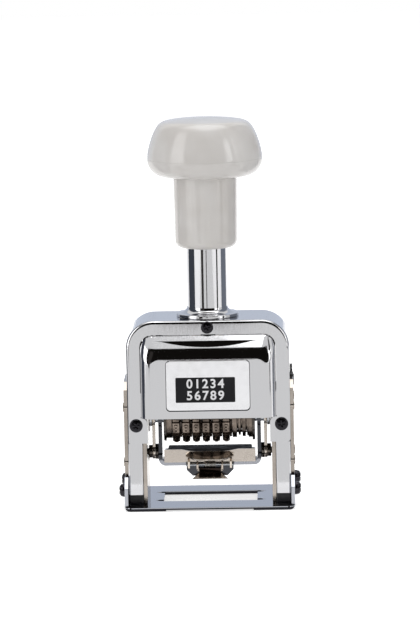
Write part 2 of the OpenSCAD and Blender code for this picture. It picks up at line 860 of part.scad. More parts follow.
// The lug that the top screw holds
module cover_lug() {
  difference() {
    union() {
      block([-lug_w / 2, -seat_y - cover_wall, lug_foot_z],
        [lug_w / 2, lug_rear_y, arch_top_z - band_top_w - cover_gap]);
      block([-lug_w / 2, -seat_y, lug_foot_z], [lug_w / 2, lug_rear_y, arch_top_z - arch_wall - 0.4]);
    }
    bar_y(-arch_d, 0, face_thread_d / 2, 0, top_screw_z);
  }
}

module front_cover() {
  color("#CDCFD4") {
    dented_shell();
    cover_lug();
  }
}

module rear_cover() {
  color("#CDCFD4") mirror([0, 1, 0]) {
    cover_shell();
    cover_lug();
  }
}

module label_plate() {
  color("#D2D3D8") translate([0, 0, label_z]) along_y(-cover_y - label_t, -cover_y)
    round_rect(label_w, label_h, label_r);
}

module label_field() {
  color("#232326") translate([-field_x, 0, field_z])
    along_y(-cover_y - label_t - field_t, -cover_y - label_t) round_rect(field_w, field_h, 0.4);
}

// ---- tube and collar ----

module collar_flange() {
  neck_r = tube_r + collar_neck_t;
  flare_w = collar_d / 2 - 0.4 - neck_r;
  flare_h = collar_h - collar_rim_h;
  color("#C6C9CE") translate([0, 0, arch_top_z]) rotate_extrude() polygon(concat(
    [[tube_r, 0], [collar_d / 2, 0], [collar_d / 2, collar_rim_h]],
    [for (a = [0 : 10 : 90]) [neck_r + flare_w * (1 - sin(a)), collar_rim_h + flare_h * (1 - cos(a))]],
    [[tube_r, collar_h]]));
}

module guide_tube() {
  color("#C2C5CA") difference() {
    translate([0, 0, tube_foot_z]) cylinder(h = tube_top_z - tube_foot_z, r = tube_r);
    translate([0, 0, tube_foot_z - 1]) cylinder(h = tube_top_z - tube_foot_z + 2, r = tube_in_r);
  }
}

module ring_nut() {
  color("#8C8E92") translate([0, 0, tube_foot_z]) difference() {
    cylinder(h = ring_nut_h, r = ring_nut_d / 2, $fn = 6);
    translate([0, 0, -1]) cylinder(h = ring_nut_h + 2, r = tube_r);
  }
}

module tube_bush() {
  color("#B8964A") translate([0, 0, tube_foot_z]) difference() {
    cylinder(h = bush_h, r = tube_in_r);
    translate([0, 0, -1]) cylinder(h = bush_h + 2, r = rod_d / 2 + bore_play);
  }
}

// ---- wound springs ----

// Ring centre k of a coil about +Z
function coil_centre(k, r, pitch) = [r * cos(k * 360 / coil_rings), r * sin(k * 360 / coil_rings),
  pitch * k / coil_rings];
// Point s of the ring: spoke along the radius, rise along the axis
function coil_point(k, s, r, pitch, wire_r) = let (a = k * 360 / coil_rings, b = s * 360 / coil_sides)
  coil_centre(k, r, pitch) + wire_r * [cos(b) * cos(a), cos(b) * sin(a), sin(b)];

module coil(r, pitch, turns, wire_r) {
  last = coil_rings * turns;
  points = [for (k = [0 : last], s = [0 : coil_sides - 1]) coil_point(k, s, r, pitch, wire_r)];
  skin = [for (k = [0 : last - 1], s = [0 : coil_sides - 1], half = [0, 1])
    let (n = (s + 1) % coil_sides, a = k * coil_sides, b = a + coil_sides)
    half == 0 ? [a + s, b + s, b + n] : [a + s, b + n, a + n]];
  foot = [for (s = [1 : coil_sides - 2]) [0, s, s + 1]];
  head = [for (s = [1 : coil_sides - 2]) let (a = last * coil_sides) [a, a + s + 1, a + s]];
  polyhedron(points, concat(skin, foot, head));
}

// Least gap between one curl and the next, measured on the points
function coil_gap(r, pitch, wire_r) = min([for (s = [0 : coil_sides - 1], t = [0 : coil_sides - 1])
  norm(coil_point(0, s, r, pitch, wire_r) - coil_point(coil_rings, t, r, pitch, wire_r))]);

echo(return_spring_gap = coil_gap(coil_d / 2, coil_pitch, coil_wire_d / 2));
echo(latch_spring_gap = coil_gap(latch_coil_d / 2, latch_pitch, latch_wire_d / 2));

module return_spring() {
  color("#9A9CA0") translate([0, 0, bush_top_z + coil_wire_d / 2 + 0.1])
    coil(coil_d / 2, coil_pitch, coil_turns, coil_wire_d / 2);
}

// ---- handle ----

// Outline of the knob above and below its belly
function cap_curve(inset, steps) = [for (i = [0 : steps]) let (a = i * 90 / steps)
  [belly_d / 2 - belly_turn + (belly_turn - inset) * cos(a), belly_z + (cap_h - inset) * sin(a)]];
function base_curve(steps) = [for (i = [0 : steps]) let (a = -i * 90 / steps)
  [belly_d / 2 - base_turn + base_turn * cos(a), belly_z + (belly_z - knob_foot_z) * sin(a)]];

module knob_cap() {
  color("#DAD7D6") rotate_extrude() difference() {
    polygon(concat([[0, belly_z]], cap_curve(0, 10), [[0, belly_z + cap_h + dome_h]]));
    difference() {
      polygon(concat([[0, belly_z - 1], [belly_d / 2 - cap_wall, belly_z - 1]], cap_curve(cap_wall, 6),
        [[0, belly_z + cap_h - cap_wall]]));
      square([spigot_d / 2 + 2, belly_z + cap_h]);
    }
    translate([0, belly_z - 1]) square([spigot_d / 2, floor_top_z + 0.2 - belly_z + 1]);
    translate([0, belly_z - 1]) square([nut_d / 2 + 1, floor_top_z + nut_h + 0.6 - belly_z + 1]);
  }
}

module knob_base() {
  color("#DAD7D6") rotate_extrude() difference() {
    polygon(concat([[0, belly_z]], base_curve(8), [[0, knob_foot_z]]));
    square([spigot_d / 2, belly_z + 1]);
  }
}

module handle_sleeve() {
  top_r = sleeve_top_d / 2;
  foot_r = sleeve_foot_d / 2;
  bore = tube_r + sleeve_play;
  color("#D6D3D2") rotate_extrude() polygon(concat(
    [[bore, sleeve_foot_z]],
    [for (a = [-90 : 15 : 0])
      [foot_r - sleeve_foot_r * (1 - cos(a)), sleeve_foot_z + sleeve_foot_r * (1 + sin(a))]],
    [[top_r, knob_foot_z], [spigot_d / 2, knob_foot_z], [spigot_d / 2, floor_top_z],
      [stud_d / 2, floor_top_z], [stud_d / 2, rod_top_z], [bore, rod_top_z]]));
}

module plunger_rod() {
  color("#A9ABB0") {
    translate([0, 0, bridge_z + bridge_t]) cylinder(h = rod_top_z - bridge_z - bridge_t, r = rod_d / 2);
    translate([0, 0, bridge_z - nut_h - 0.6])
      cylinder(h = floor_top_z + nut_h + 0.4 - bridge_z + nut_h + 0.6, r = stud_d / 2);
  }
}

module rod_nut(z) {
  translate([0, 0, z]) difference() {
    cylinder(h = nut_h, r = nut_d / 2, $fn = 6);
    translate([0, 0, -1]) cylinder(h = nut_h + 2, r = stud_d / 2);
  }
}

module rod_nuts() {
  color("#8C8E92") {
    rod_nut(bridge_z - nut_h);
    rod_nut(floor_top_z);
  }
}

module spring_seat() {
  color("#8C8E92") translate([0, 0, seat_z]) difference() {
    cylinder(h = seat_t, r = tube_in_r - 0.3);
    translate([0, 0, -1]) cylinder(h = seat_t + 2, r = rod_d / 2);
  }
}

// ---- carriage ----

module carriage_outline() {
  translate([0, axle_z]) circle(r = carriage_eye_r);
  translate([column_front_y, axle_z]) square([column_rear_y - column_front_y, bridge_z + bridge_t - axle_z]);
}

module carriage_frame() {
  color("#4A4744") difference() {
    union() {
      both_sides() along_x(carriage_in_x, carriage_x) carriage_outline();
      block([-carriage_x, column_front_y, bridge_z], [carriage_x, -column_front_y, bridge_z + bridge_t]);
    }
    bar_x(-body_x, body_x, axle_d / 2, 0, axle_z);
    bar_x(-body_x, body_x, shaft_d / 2, shaft_y, shaft_z);
    for (p = tie_places) bar_x(-body_x, body_x, tie_d / 2, p.x, p.y);
    translate([0, 0, bridge_z - 1]) cylinder(h = bridge_t + 2, r = stud_d / 2);
  }
}

module guide_blocks() {
  color("#B8964A") both_sides()
    block([carriage_x, column_front_y + 1, block_z],
      [guide_in_x - block_gap, column_rear_y - 0.5, block_z + block_h]);
}

module tie_rods() {
  color("#6E6A66") for (p = tie_places) bar_x(-carriage_x, carriage_x, tie_d / 2, p.x, p.y);
}

module wheel_axle() {
  color("#8F8B86") {
    bar_x(-carriage_x, carriage_x, axle_d / 2, 0, axle_z);
    bar_x(-guide_in_x + 0.5, guide_in_x - 0.5, axle_end_d / 2, 0, axle_z);
  }
}

module axle_nuts() {
  color("#8F8B86") both_sides() difference() {
    bar_x(link_out_x + 0.1, guide_in_x - 0.6, axle_end_d / 2 + 1.5, 0, axle_z);
    bar_x(link_out_x - 1, guide_in_x, axle_end_d / 2, 0, axle_z);
  }
}

module spacer_disc(x0, x1, r) {
  difference() {
    bar_x(x0, x1, r, 0, axle_z);
    bar_x(x0 - 1, x1 + 1, axle_d / 2, 0, axle_z);
  }
}

module wheel_spacers() {
  color("#6A5F55") {
    spacer_disc(-carriage_in_x, left_spacer_w - carriage_in_x, spacer_r);
    start = wheels_end_x + wheel_gap;
    for (d = spacer_discs)
      spacer_disc(start + d[0] * spacer_room, start + d[1] * spacer_room, d[2] * spacer_r);
  }
}

// ---- number wheels ----

module ratchet_outline() {
  polygon([for (i = [0 : 9], tip = [0, 1])
    let (a = i * 36 + 5 * tip, r = tip == 1 ? ratchet_r : ratchet_root_r) [r * cos(a), r * sin(a)]]);
}

module number_wheel(i) {
  x = first_wheel_x + i * wheel_pitch;
  color("#7D7064") difference() {
    union() {
      bar_x(x - wheel_w / 2, x + wheel_w / 2, drum_r, 0, axle_z);
      for (k = [0 : 9]) translate([x, 0, axle_z]) rotate([k * 36, 0, 0])
        translate([-wheel_w / 2, -digit_w / 2, pad_root_r]) cube([wheel_w, digit_w, wheel_r - pad_root_r]);
    }
    bar_x(x - wheel_w, x + wheel_w, axle_d / 2 + bore_play, 0, axle_z);
  }
}

// The toothed disc on the right-hand side of wheel i
module ratchet(i) {
  x = first_wheel_x + i * wheel_pitch + wheel_w / 2;
  color("#6A5F55") difference() {
    translate([0, 0, axle_z]) along_x(x, x + ratchet_t) ratchet_outline();
    bar_x(x - 1, x + wheel_w, axle_d / 2 + bore_play, 0, axle_z);
  }
}

module number_wheel_1() {
  number_wheel(0);
}

module number_wheel_2() {
  number_wheel(1);
}

module number_wheel_3() {
  number_wheel(2);
}

module number_wheel_4() {
  number_wheel(3);
}

module number_wheel_5() {
  number_wheel(4);
}

module number_wheel_6() {
  number_wheel(5);
}

module ratchet_1() {
  ratchet(0);
}

module ratchet_2() {
  ratchet(1);
}

module ratchet_3() {
  ratchet(2);
}

module ratchet_4() {
  ratchet(3);
}

module ratchet_5() {
  ratchet(4);
}

module ratchet_6() {
  ratchet(5);
}

// ---- combs ----

// One finger over each ratchet
module fingers() {
  for (i = [0 : wheel_count - 1]) {
    mid = first_wheel_x + i * wheel_pitch + wheel_pitch / 2;
    along_x(mid - finger_w / 2, mid + finger_w / 2) children();
  }
}

module detent_comb() {
  rod = tie_places[1];
  half = detent_w / 2;
  color("#A8A49C") difference() {
    union() {
      bar_x(first_wheel_x, comb_right_x, tie_d / 2 + 1, rod.x, rod.y);
      fingers() polygon([[rod.x - half, rod.y], [rod.x + half, rod.y],
        [rod.x + half, rod.y - 0.9 * detent_reach], [rod.x + 0.3 * half, rod.y - detent_reach]]);
    }
    bar_x(first_wheel_x - 1, comb_right_x + 1, tie_d / 2, rod.x, rod.y);
  }
}

module feed_shaft() {
  color("#8F8B86") bar_x(-carriage_x, carriage_x, shaft_d / 2, shaft_y, shaft_z);
}

module feed_comb() {
  color("#5B554F") difference() {
    bar_x(first_wheel_x, comb_right_x, hub_d / 2, shaft_y, shaft_z);
    bar_x(first_wheel_x - 1, comb_right_x + 1, shaft_d / 2 + bore_play, shaft_y, shaft_z);
  }
}

module feed_fingers() {
  half = 0.7 * hub_d / 2;
  color("#5B554F") difference() {
    fingers() polygon([[shaft_y - 0.3 * half, shaft_z], [shaft_y + half, shaft_z],
      [shaft_y + feed_lean + feed_tip_w, shaft_z - 0.9 * feed_reach],
      [shaft_y + feed_lean, shaft_z - feed_reach]]);
    bar_x(first_wheel_x, comb_right_x, hub_d / 2, shaft_y, shaft_z);
  }
}

// ---- pad yoke ----

// The U of the yoke seen from the front, open at the top
module yoke_front_shape() {
  h = axle_z - yoke_foot_z + 2 * arm_eye_r;
  difference() {
    translate([0, yoke_foot_z + h / 2]) round_rect(yoke_w, h, yoke_r);
    translate([0, yoke_foot_z + yoke_t + h / 2]) round_rect(yoke_w - 2 * yoke_t, h, yoke_r - yoke_t);
    translate([-arm_in_x, axle_z]) square([2 * arm_in_x, h]);
  }
}

module yoke_side_shape() {
  translate([0, axle_z]) circle(r = arm_eye_r);
  translate([-arm_w / 2, yoke_foot_z - 1]) square([arm_w, axle_z - yoke_foot_z + 1]);
  translate([-yoke_d / 2, yoke_foot_z - 1]) square([yoke_d, yoke_r + yoke_t + 1]);
}

module tab_shape() {
  half = tab_w / 2;
  cut = tab_chamfer;
  polygon([[-half, yoke_foot_z + yoke_t], [-half, tab_z + cut], [cut - half, tab_z], [half - cut, tab_z],
    [half, tab_z + cut], [half, yoke_foot_z + yoke_t]]);
}

module pad_yoke() {
  color("#6D7077") difference() {
    union() {
      intersection() {
        along_y(-yoke_d, yoke_d) yoke_front_shape();
        along_x(-yoke_w, yoke_w) yoke_side_shape();
      }
      along_y(-yoke_d / 2 - yoke_t, eps - yoke_d / 2) tab_shape();
    }
    bar_x(-body_x, body_x, axle_end_d / 2 + bore_play, 0, axle_z);
    bar_x(-body_x, body_x, roller_d / 2, 0, axle_z - roller_arm);
  }
}

module yoke_links() {
  color("#B9BBBF") both_sides() along_x(link_in_x, link_out_x) difference() {
    union() {
      translate([0, axle_z]) circle(r = link_eye_r);
      translate([-link_w / 2, axle_z - roller_arm]) square([link_w, roller_arm]);
      translate([0, axle_z - roller_arm]) circle(r = link_foot_r);
    }
    translate([0, axle_z]) circle(r = axle_end_d / 2 + bore_play);
    translate([0, axle_z - roller_arm]) circle(r = roller_d / 2);
  }
}

// Pins that run in the cam slots, with a washer inside and a collar outside each link
module yoke_rollers() {
  z = axle_z - roller_arm;
  color("#55565A") both_sides() {
    bar_x(arm_in_x, post_in_x - 0.2, roller_d / 2, 0, z);
    bar_x(yoke_w / 2, link_in_x, washer_d / 2, 0, z);
    bar_x(link_out_x, guide_in_x - 0.4, roller_collar_d / 2, 0, z);
  }
}

// ---- pad tray ----

// The front plate: its rim dips in the middle
module tray_front_shape() {
  low = tray_foot_z;
  top = tray_foot_z + tray_front_h;
  dip = top - rim_dip;
  w = tray_w / 2;
  polygon([[-w, low], [w, low], [w, top], [w * 0.62, top], [w * 0.46, dip + 0.2], [w * 0.3, dip],
    [-w * 0.3, dip], [-w * 0.46, dip + 0.2], [-w * 0.62, top], [-w, top]]);
}

module tongue_shape() {
  w = tongue_w / 2;
  l = tongue_l;
  polygon([[-w * 0.83, 0], [-w, l * 0.45], [-w * 0.88, l * 0.62], [-w * 0.68, l * 0.9], [-w * 0.47, l],
    [w * 0.47, l], [w * 0.68, l * 0.9], [w * 0.88, l * 0.62], [w, l * 0.45], [w * 0.83, 0]]);
}

module bracket_shape() {
  tip = pin_d / 2 + 0.7;
  polygon([[-tray_front_y, tray_foot_z], [-tray_front_y, tray_foot_z + 2.6], [-pin_y - tip, pin_z + tip],
    [-pin_y - tip, pin_z - tip], [-pin_y + 0.3, pin_z - tip]]);
}

module pad_tray() {
  front = tray_front_y;
  color("#C8C0B6") difference() {
    union() {
      difference() {
        block([-tray_w / 2, -front, tray_foot_z], [tray_w / 2, tray_d / 2, tray_foot_z + tray_h]);
        block([tray_t - tray_w / 2, tray_t - front, tray_foot_z + tray_t],
          [tray_w / 2 - tray_t, tray_d / 2 - tray_t, axle_z]);
      }
      along_y(-front - tray_t, -front + eps) tray_front_shape();
      translate([0, eps - front - tray_t, tray_foot_z + tray_front_h - 1.4]) rotate([tongue_tilt, 0, 0])
        rotate([0, 0, 180]) linear_extrude(tray_t) tongue_shape();
      both_sides() along_x(bracket_x - bracket_t / 2, bracket_x + bracket_t / 2) bracket_shape();
    }
    bar_x(-tray_w, tray_w, pin_d / 2, -pin_y, pin_z);
  }
}

module ink_pad() {
  color("#1B1A1C") translate([0, 0, tray_foot_z + tray_t])
    linear_extrude(pad_top_z - tray_foot_z - tray_t) round_rect(pad_w, pad_d, 0.8);
}

// ---- latch ----

module latch_pin() {
  color("#9A948C") bar_x(-pin_l / 2, pin_l / 2, pin_d / 2, -pin_y, pin_z);
}

// The lever's plate seen from the front, down to where the lip flares
module lever_front_shape(half) {
  top = pin_z - lever_drop;
  low = lip_z + lip_h;
  mid = top - shoulder_high;
  foot = top - shoulder_low;
  polygon([[-half, top], [half, top], [half, mid], [neck_w / 2, foot], [neck_w / 2, low],
    [-neck_w / 2, low], [-neck_w / 2, foot], [-half, mid]]);
}

module lever_ear_shape() {
  top = pin_z - lever_drop;
  low = top - shoulder_high;
  rear = lever_ear - pin_y;
  translate([-pin_y, pin_z]) circle(r = lever_ear);
  polygon([[-pin_y - lever_ear, pin_z], [rear, pin_z], [rear, low], [rear - lever_t, low],
    [-pin_y - lever_ear, top]]);
}

// The lip seen from above grows forwards and sideways on its way down
module lip_slice(share) {
  y = lever_ear - pin_y - lever_t - share * lip_flare;
  w = neck_w + share * (lip_w - neck_w);
  translate([0, y + lever_t / 2, lip_z + lip_h * (1 - share)])
    linear_extrude(eps) round_rect(w, lever_t, lever_t * 0.45, $fn = 16);
}

module latch_lever() {
  ear_x = lever_gap / 2;
  color("#5A5048") difference() {
    union() {
      both_sides() along_x(ear_x, ear_x + lever_t) lever_ear_shape();
      along_y(lever_ear - pin_y - lever_t, lever_ear - pin_y) lever_front_shape(ear_x + lever_t);
      for (i = [0 : 3]) hull() {
        lip_slice(pow(i / 4, 2));
        lip_slice(pow((i + 1) / 4, 2));
      }
    }
    bar_x(-tray_w, tray_w, pin_d / 2 + bore_play, -pin_y, pin_z);
  }
}

module latch_spring() {
  color("#B0A48F") translate([-latch_turns * latch_pitch / 2, -pin_y, pin_z]) rotate([0, 90, 0])
    coil(latch_coil_d / 2, latch_pitch, latch_turns, latch_wire_d / 2);
}

// ---- selector ----

module selector_dial() {
  color("#202022") {
    along_x(body_x + 0.1, body_x + 0.1 + dial_t) translate([dial_y, dial_z]) {
      circle(r = dial_d / 2 - 0.6);
      for (i = [0 : dial_scallops - 1]) rotate(i * 360 / dial_scallops)
        translate([dial_d / 2 - scallop_r, 0]) circle(r = scallop_r);
    }
    bar_x(body_x - arch_wall - 0.4, body_x + 0.2, dial_pivot_r, dial_y, dial_z);
  }
}

module selector_screw() {
  x = body_x + 0.1 + dial_t;
  color("#3A3A3D") difference() {
    bar_x(x, x + 0.6, 2.2, dial_y, dial_z);
    block([x + 0.3, dial_y - dial_d / 4, dial_z - 0.3], [x + dial_t, dial_y + dial_d / 4, dial_z + 0.3]);
  }
}

base_plate();
base_screws_left();
base_screws_right();
foot_buffers();
front_post_left();
front_post_right();
rear_post_left();
rear_post_right();
guide_plate_left();
guide_plate_right();
side_plate_left();
side_plate_right();
side_rivets();
arch_frame();
face_screws();
rear_screws();
front_cover();
rear_cover();
label_plate();
label_field();
collar_flange();
guide_tube();
ring_nut();
tube_bush();
return_spring();
knob_cap();
knob_base();
handle_sleeve();
plunger_rod();
rod_nuts();
spring_seat();
carriage_frame();
guide_blocks();
tie_rods();
wheel_axle();
axle_nuts();
wheel_spacers();
detent_comb();
feed_shaft();
feed_comb();
feed_fingers();
number_wheel_1();
number_wheel_2();
number_wheel_3();
number_wheel_4();
number_wheel_5();
number_wheel_6();
ratchet_1();
ratchet_2();
ratchet_3();
ratchet_4();
ratchet_5();
ratchet_6();
pad_yoke();
yoke_links();
yoke_rollers();
pad_tray();
ink_pad();
latch_lever();
latch_pin();
latch_spring();
selector_dial();
selector_screw();
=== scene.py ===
# %% [markdown]
# # A hand numbering machine
# The fixed frame comes first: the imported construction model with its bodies, nodes and joints.
# Every piece below is made where the real one sits, in metres, and rides on the body that carries it.

import json
import math

import bmesh
import bpy
from mathutils import Matrix, Vector


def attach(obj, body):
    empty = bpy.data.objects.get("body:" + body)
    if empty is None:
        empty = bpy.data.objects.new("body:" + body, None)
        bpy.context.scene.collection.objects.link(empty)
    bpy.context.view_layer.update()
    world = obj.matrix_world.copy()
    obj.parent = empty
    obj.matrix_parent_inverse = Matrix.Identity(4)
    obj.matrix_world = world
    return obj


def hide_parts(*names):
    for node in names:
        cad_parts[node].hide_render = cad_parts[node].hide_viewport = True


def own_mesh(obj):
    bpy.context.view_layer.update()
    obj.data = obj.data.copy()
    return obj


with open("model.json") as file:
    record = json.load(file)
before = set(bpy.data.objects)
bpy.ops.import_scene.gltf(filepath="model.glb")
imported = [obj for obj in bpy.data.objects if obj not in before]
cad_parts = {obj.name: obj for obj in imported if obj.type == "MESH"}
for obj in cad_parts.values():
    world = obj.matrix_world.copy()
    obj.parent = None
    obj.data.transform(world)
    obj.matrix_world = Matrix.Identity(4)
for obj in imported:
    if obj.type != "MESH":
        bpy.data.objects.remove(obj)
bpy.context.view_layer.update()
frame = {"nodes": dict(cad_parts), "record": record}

# %% [markdown]
# The pieces are modelled with the same operators that a person would use by hand.
# An operator works on whatever is selected, so each step starts from an empty selection,
# and faces or edges are then picked by their place.

# %% Small helpers for modelling
MM = 0.001


def deselect():
    """Leaves edit mode and empties the selection."""
    if bpy.context.object and bpy.context.object.mode != "OBJECT":
        bpy.ops.object.mode_set(mode="OBJECT")
    bpy.ops.object.select_all(action="DESELECT")


def pick(*objects):
    """Selects the objects and nothing else, the first of them active."""
    deselect()
    for obj in objects:
        obj.select_set(True)
    bpy.context.view_layer.objects.active = objects[0]


def named(name):
    """Names the active object and its mesh."""
    obj = bpy.context.object
    obj.name = name
    obj.data.name = name
    return obj


def settle(obj):
    """Puts the place, turn and scale of obj into its mesh."""
    pick(obj)
    bpy.ops.object.transform_apply(location=True, rotation=True, scale=True)


def edit_mesh(obj):
    """Edit mode with nothing selected."""
    pick(obj)
    bpy.ops.object.mode_set(mode="EDIT")
    bpy.ops.mesh.select_mode(type="VERT")
    bpy.ops.mesh.select_all(action="DESELECT")


def choose(obj, kind, test):
    """Selects the verts, edges or faces of obj that pass the test, in edit mode, and counts them."""
    bpy.ops.mesh.select_mode(type=kind)
    bm = bmesh.from_edit_mesh(obj.data)
    parts = {"VERT": bm.verts, "EDGE": bm.edges, "FACE": bm.faces}[kind]
    for part in parts:
        part.select = False
    count = 0
    for part in parts:
        if test(part):
            part.select = True
            count += 1
    bm.select_flush_mode()
    bmesh.update_edit_mesh(obj.data)
    return count


def leave_edit():
    """Back to object mode."""
    bpy.ops.object.mode_set(mode="OBJECT")


def apply_modifier(obj, kind, **settings):
    """Adds a modifier with its settings and applies it at once."""
    pick(obj)
    mod = obj.modifiers.new(kind.title(), kind)
    for key, value in settings.items():
        setattr(mod, key, value)
    bpy.ops.object.modifier_apply(modifier=mod.name)


def smooth(obj, degrees=35):
    """Smooth shading up to an angle, with flat faces kept flat beside their bevels."""
    pick(obj)
    bpy.ops.object.shade_smooth_by_angle(angle=math.radians(degrees))
    apply_modifier(obj, "WEIGHTED_NORMAL", keep_sharp=True, weight=100, mode="FACE_AREA")


def fix_normals(obj, merge=0.00001):
    """Merges doubles and turns every face outwards."""
    edit_mesh(obj)
    bpy.ops.mesh.select_all(action="SELECT")
    bpy.ops.mesh.remove_doubles(threshold=merge)
    bpy.ops.mesh.normals_make_consistent(inside=False)
    leave_edit()


def join(name, parts):
    """Makes one object of several."""
    pick(*parts)
    bpy.ops.object.join()
    return named(name)


def twin(obj, name):
    """A copy with a mesh of its own."""
    copy = obj.copy()
    copy.data = obj.data.copy()
    copy.name = copy.data.name = name
    bpy.context.scene.collection.objects.link(copy)
    return copy


def dress(obj, finish, body, slot, *nodes):
    """Gives a finished piece its material, its body and the CAD nodes it stands for; slot is not used."""
    obj.data.materials.clear()
    obj.data.materials.append(finish)
    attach(obj, body)
    if nodes:
        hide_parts(*nodes)
    corners = [Vector(v.co) for v in obj.data.vertices]
    low = [round(min(c[i] for c in corners) / MM, 2) for i in range(3)]
    high = [round(max(c[i] for c in corners) / MM, 2) for i in range(3)]
    print(obj.name, "on", body, "faces", len(obj.data.polygons), "mm", low, high)


# %% [markdown]
# ## Finishes
# Each finish is a Principled shader with its pattern in Object coordinates, so that it stays on the
# piece as the piece moves. A painted image could do the same, but it would need a flat layout of each
# piece. One function turns a written colour to linear, and one adds a node.

# %% Colour and node helpers
def linear(hex_code):
    """An sRGB hex colour as the linear values that a shader takes, by the sRGB standard's curve."""
    values = [int(hex_code[i : i + 2], 16) / 255 for i in (1, 3, 5)]
    return [v / 12.92 if v <= 0.04045 else ((v + 0.055) / 1.055) ** 2.4 for v in values] + [1.0]


def add_node(tree, kind, links=None, **settings):
    """Adds a node, sets its properties or inputs, and links its inputs from other nodes' outputs."""
    node = tree.nodes.new(kind)
    for key, value in settings.items():
        if hasattr(node, key):
            setattr(node, key, value)
        else:
            label = key.replace("_", " ").lower()
            sockets = [socket for socket in node.inputs if socket.name.lower() == label]
            sockets[0].default_value = value
    for label, source in (links or {}).items():
        tree.links.new(source, node.inputs[label])
    return node


def finish_for(name, hex_code, metallic, roughness, **sockets):
    """A named material with its plain values on the shader's own sockets."""
    material = bpy.data.materials.new(name)
    material.use_nodes = True
    shader = material.node_tree.nodes["Principled BSDF"]
    shader.inputs["Base Color"].default_value = linear(hex_code)
    shader.inputs["Metallic"].default_value = metallic
    shader.inputs["Roughness"].default_value = roughness
    for key, value in sockets.items():
        shader.inputs[key.replace("_", " ")].default_value = value
    return material, material.node_tree, shader


def grain(tree, size_mm, detail, stretch=(1, 1, 1)):
    """A noise whose lumps are about size_mm across, on Object coordinates. Gives its Factor output."""
    place = add_node(tree, "ShaderNodeTexCoord")
    turn = add_node(tree, "ShaderNodeMapping", {"Vector": place.outputs["Object"]}, Scale=stretch)
    scale, vector = 1 / (size_mm * MM), turn.outputs["Vector"]
    noise = add_node(tree, "ShaderNodeTexNoise", {"Vector": vector}, Scale=scale, Detail=detail)
    return noise.outputs[0]


def spread(tree, source, low, high, start=0.3, end=0.7):
    """Maps values from start to end onto low to high."""
    node = add_node(
        tree, "ShaderNodeMapRange", {"Value": source}, From_Min=start, From_Max=end, To_Min=low, To_Max=high
    )
    return node.outputs["Result"]


# The Mix node has a set of sockets for each kind of value; these are the ones for colours
MIX_AMOUNT, MIX_LOW, MIX_HIGH, MIX_RESULT = 0, 6, 7, 2


def blend(tree, amount, low_hex, high_hex):
    """Blends two colours by an amount from 0 to 1."""
    node = add_node(tree, "ShaderNodeMix", {MIX_AMOUNT: amount}, data_type="RGBA")
    node.inputs[MIX_LOW].default_value = linear(low_hex)
    node.inputs[MIX_HIGH].default_value = linear(high_hex)
    return node.outputs[MIX_RESULT]


def two_tone(tree, source, low_hex, high_hex, start=0.35, end=0.65):
    """Blends two colours by a noise."""
    return blend(tree, spread(tree, source, 0.0, 1.0, start, end), low_hex, high_hex)


def ramp_mm(tree, axis, start, end, mirror=False):
    """0 at start mm along an Object axis and 1 at end mm; mirror takes the distance either way."""
    place = add_node(tree, "ShaderNodeTexCoord")
    parts = add_node(tree, "ShaderNodeSeparateXYZ", {"Vector": place.outputs["Object"]})
    along = parts.outputs[axis]
    if mirror:
        along = add_node(tree, "ShaderNodeMath", {0: along}, operation="ABSOLUTE").outputs[0]
    return spread(tree, along, 0.0, 1.0, start * MM, end * MM)


def wire(tree, source, shader, socket):
    """Links a pattern to a socket of the shader."""
    tree.links.new(source, shader.inputs[socket])


def relief(tree, shader, source, depth_mm, strength):
    """Bump of a real depth."""
    bump = add_node(tree, "ShaderNodeBump", {"Height": source}, Strength=strength, Distance=depth_mm * MM)
    wire(tree, bump.outputs["Normal"], shader, "Normal")


# %% [markdown]
# ### Bright chrome
# Arch, covers, tube and collar are polished and then bright chrome plated. An even mirror would look
# like glass, so the finish has the slow waves of polished sheet and hair-fine wiping marks. Chrome
# mirrors less light than silver, so its base colour is a light grey.

# %% Chrome on polished steel
SHEET_WAVE_MM, WAVE_DEEP_MM = 6.0, 0.05
WIPE_MM, WIPE_STRETCH = 0.5, (1, 1, 0.12)  # real marks are finer; these are drawn so that they show


def polished_chrome(name, hex_code, rough, low, high):
    """Chrome with slow waves, and wiping marks along the height that dull it from low to high."""
    material, tree, shader = finish_for(name, hex_code, 1.0, rough)
    wipes = grain(tree, WIPE_MM, 3.0, WIPE_STRETCH)
    wire(tree, spread(tree, wipes, low, high), shader, "Roughness")
    relief(tree, shader, grain(tree, SHEET_WAVE_MM, 0.0), WAVE_DEEP_MM, 0.12)
    return material, tree, shader


def foot_chrome():
    """The base plate's chrome, darker than the bright chrome as painted shade, with a painted dark line at
    its foot.
    """
    shade_below, shade_ends_above = 1.0, 1.15
    material, tree, shader = polished_chrome("chrome_plate_painted_shade_at_foot", "#A0A2A8", 0.1, 0.05, 0.12)
    # Painted shade: below 1 mm the chrome turns dark, for the shade that the sheet's lower edge mirrors
    foot = ramp_mm(tree, "Z", shade_below, shade_ends_above)
    wire(tree, blend(tree, foot, "#26262A", "#A0A2A8"), shader, "Base Color")
    return material


chrome = polished_chrome("bright_chrome_plate", "#C4C4C6", 0.07, 0.04, 0.10)[0]
# The base plate takes a darker copy of the chrome, painted shade from the machine above it
base_plate_painted_shade_chrome = foot_chrome()
print("chrome finishes", chrome.name, base_plate_painted_shade_chrome.name)

# %% [markdown]
# ### Satin metals
# The inner parts are tumbled and plated with nickel or zinc, or are plain bronze, brass or wire. All
# have soft clouding, an uneven sheen and a fine grain, so one function makes them, and only their
# colours, dullness and grain differ.

# %% Tumbled sheet, wire and castings
SHEEN_MM, GRAIN_MM = 2.5, 0.3  # the grain is drawn coarser than it is, so that it shows


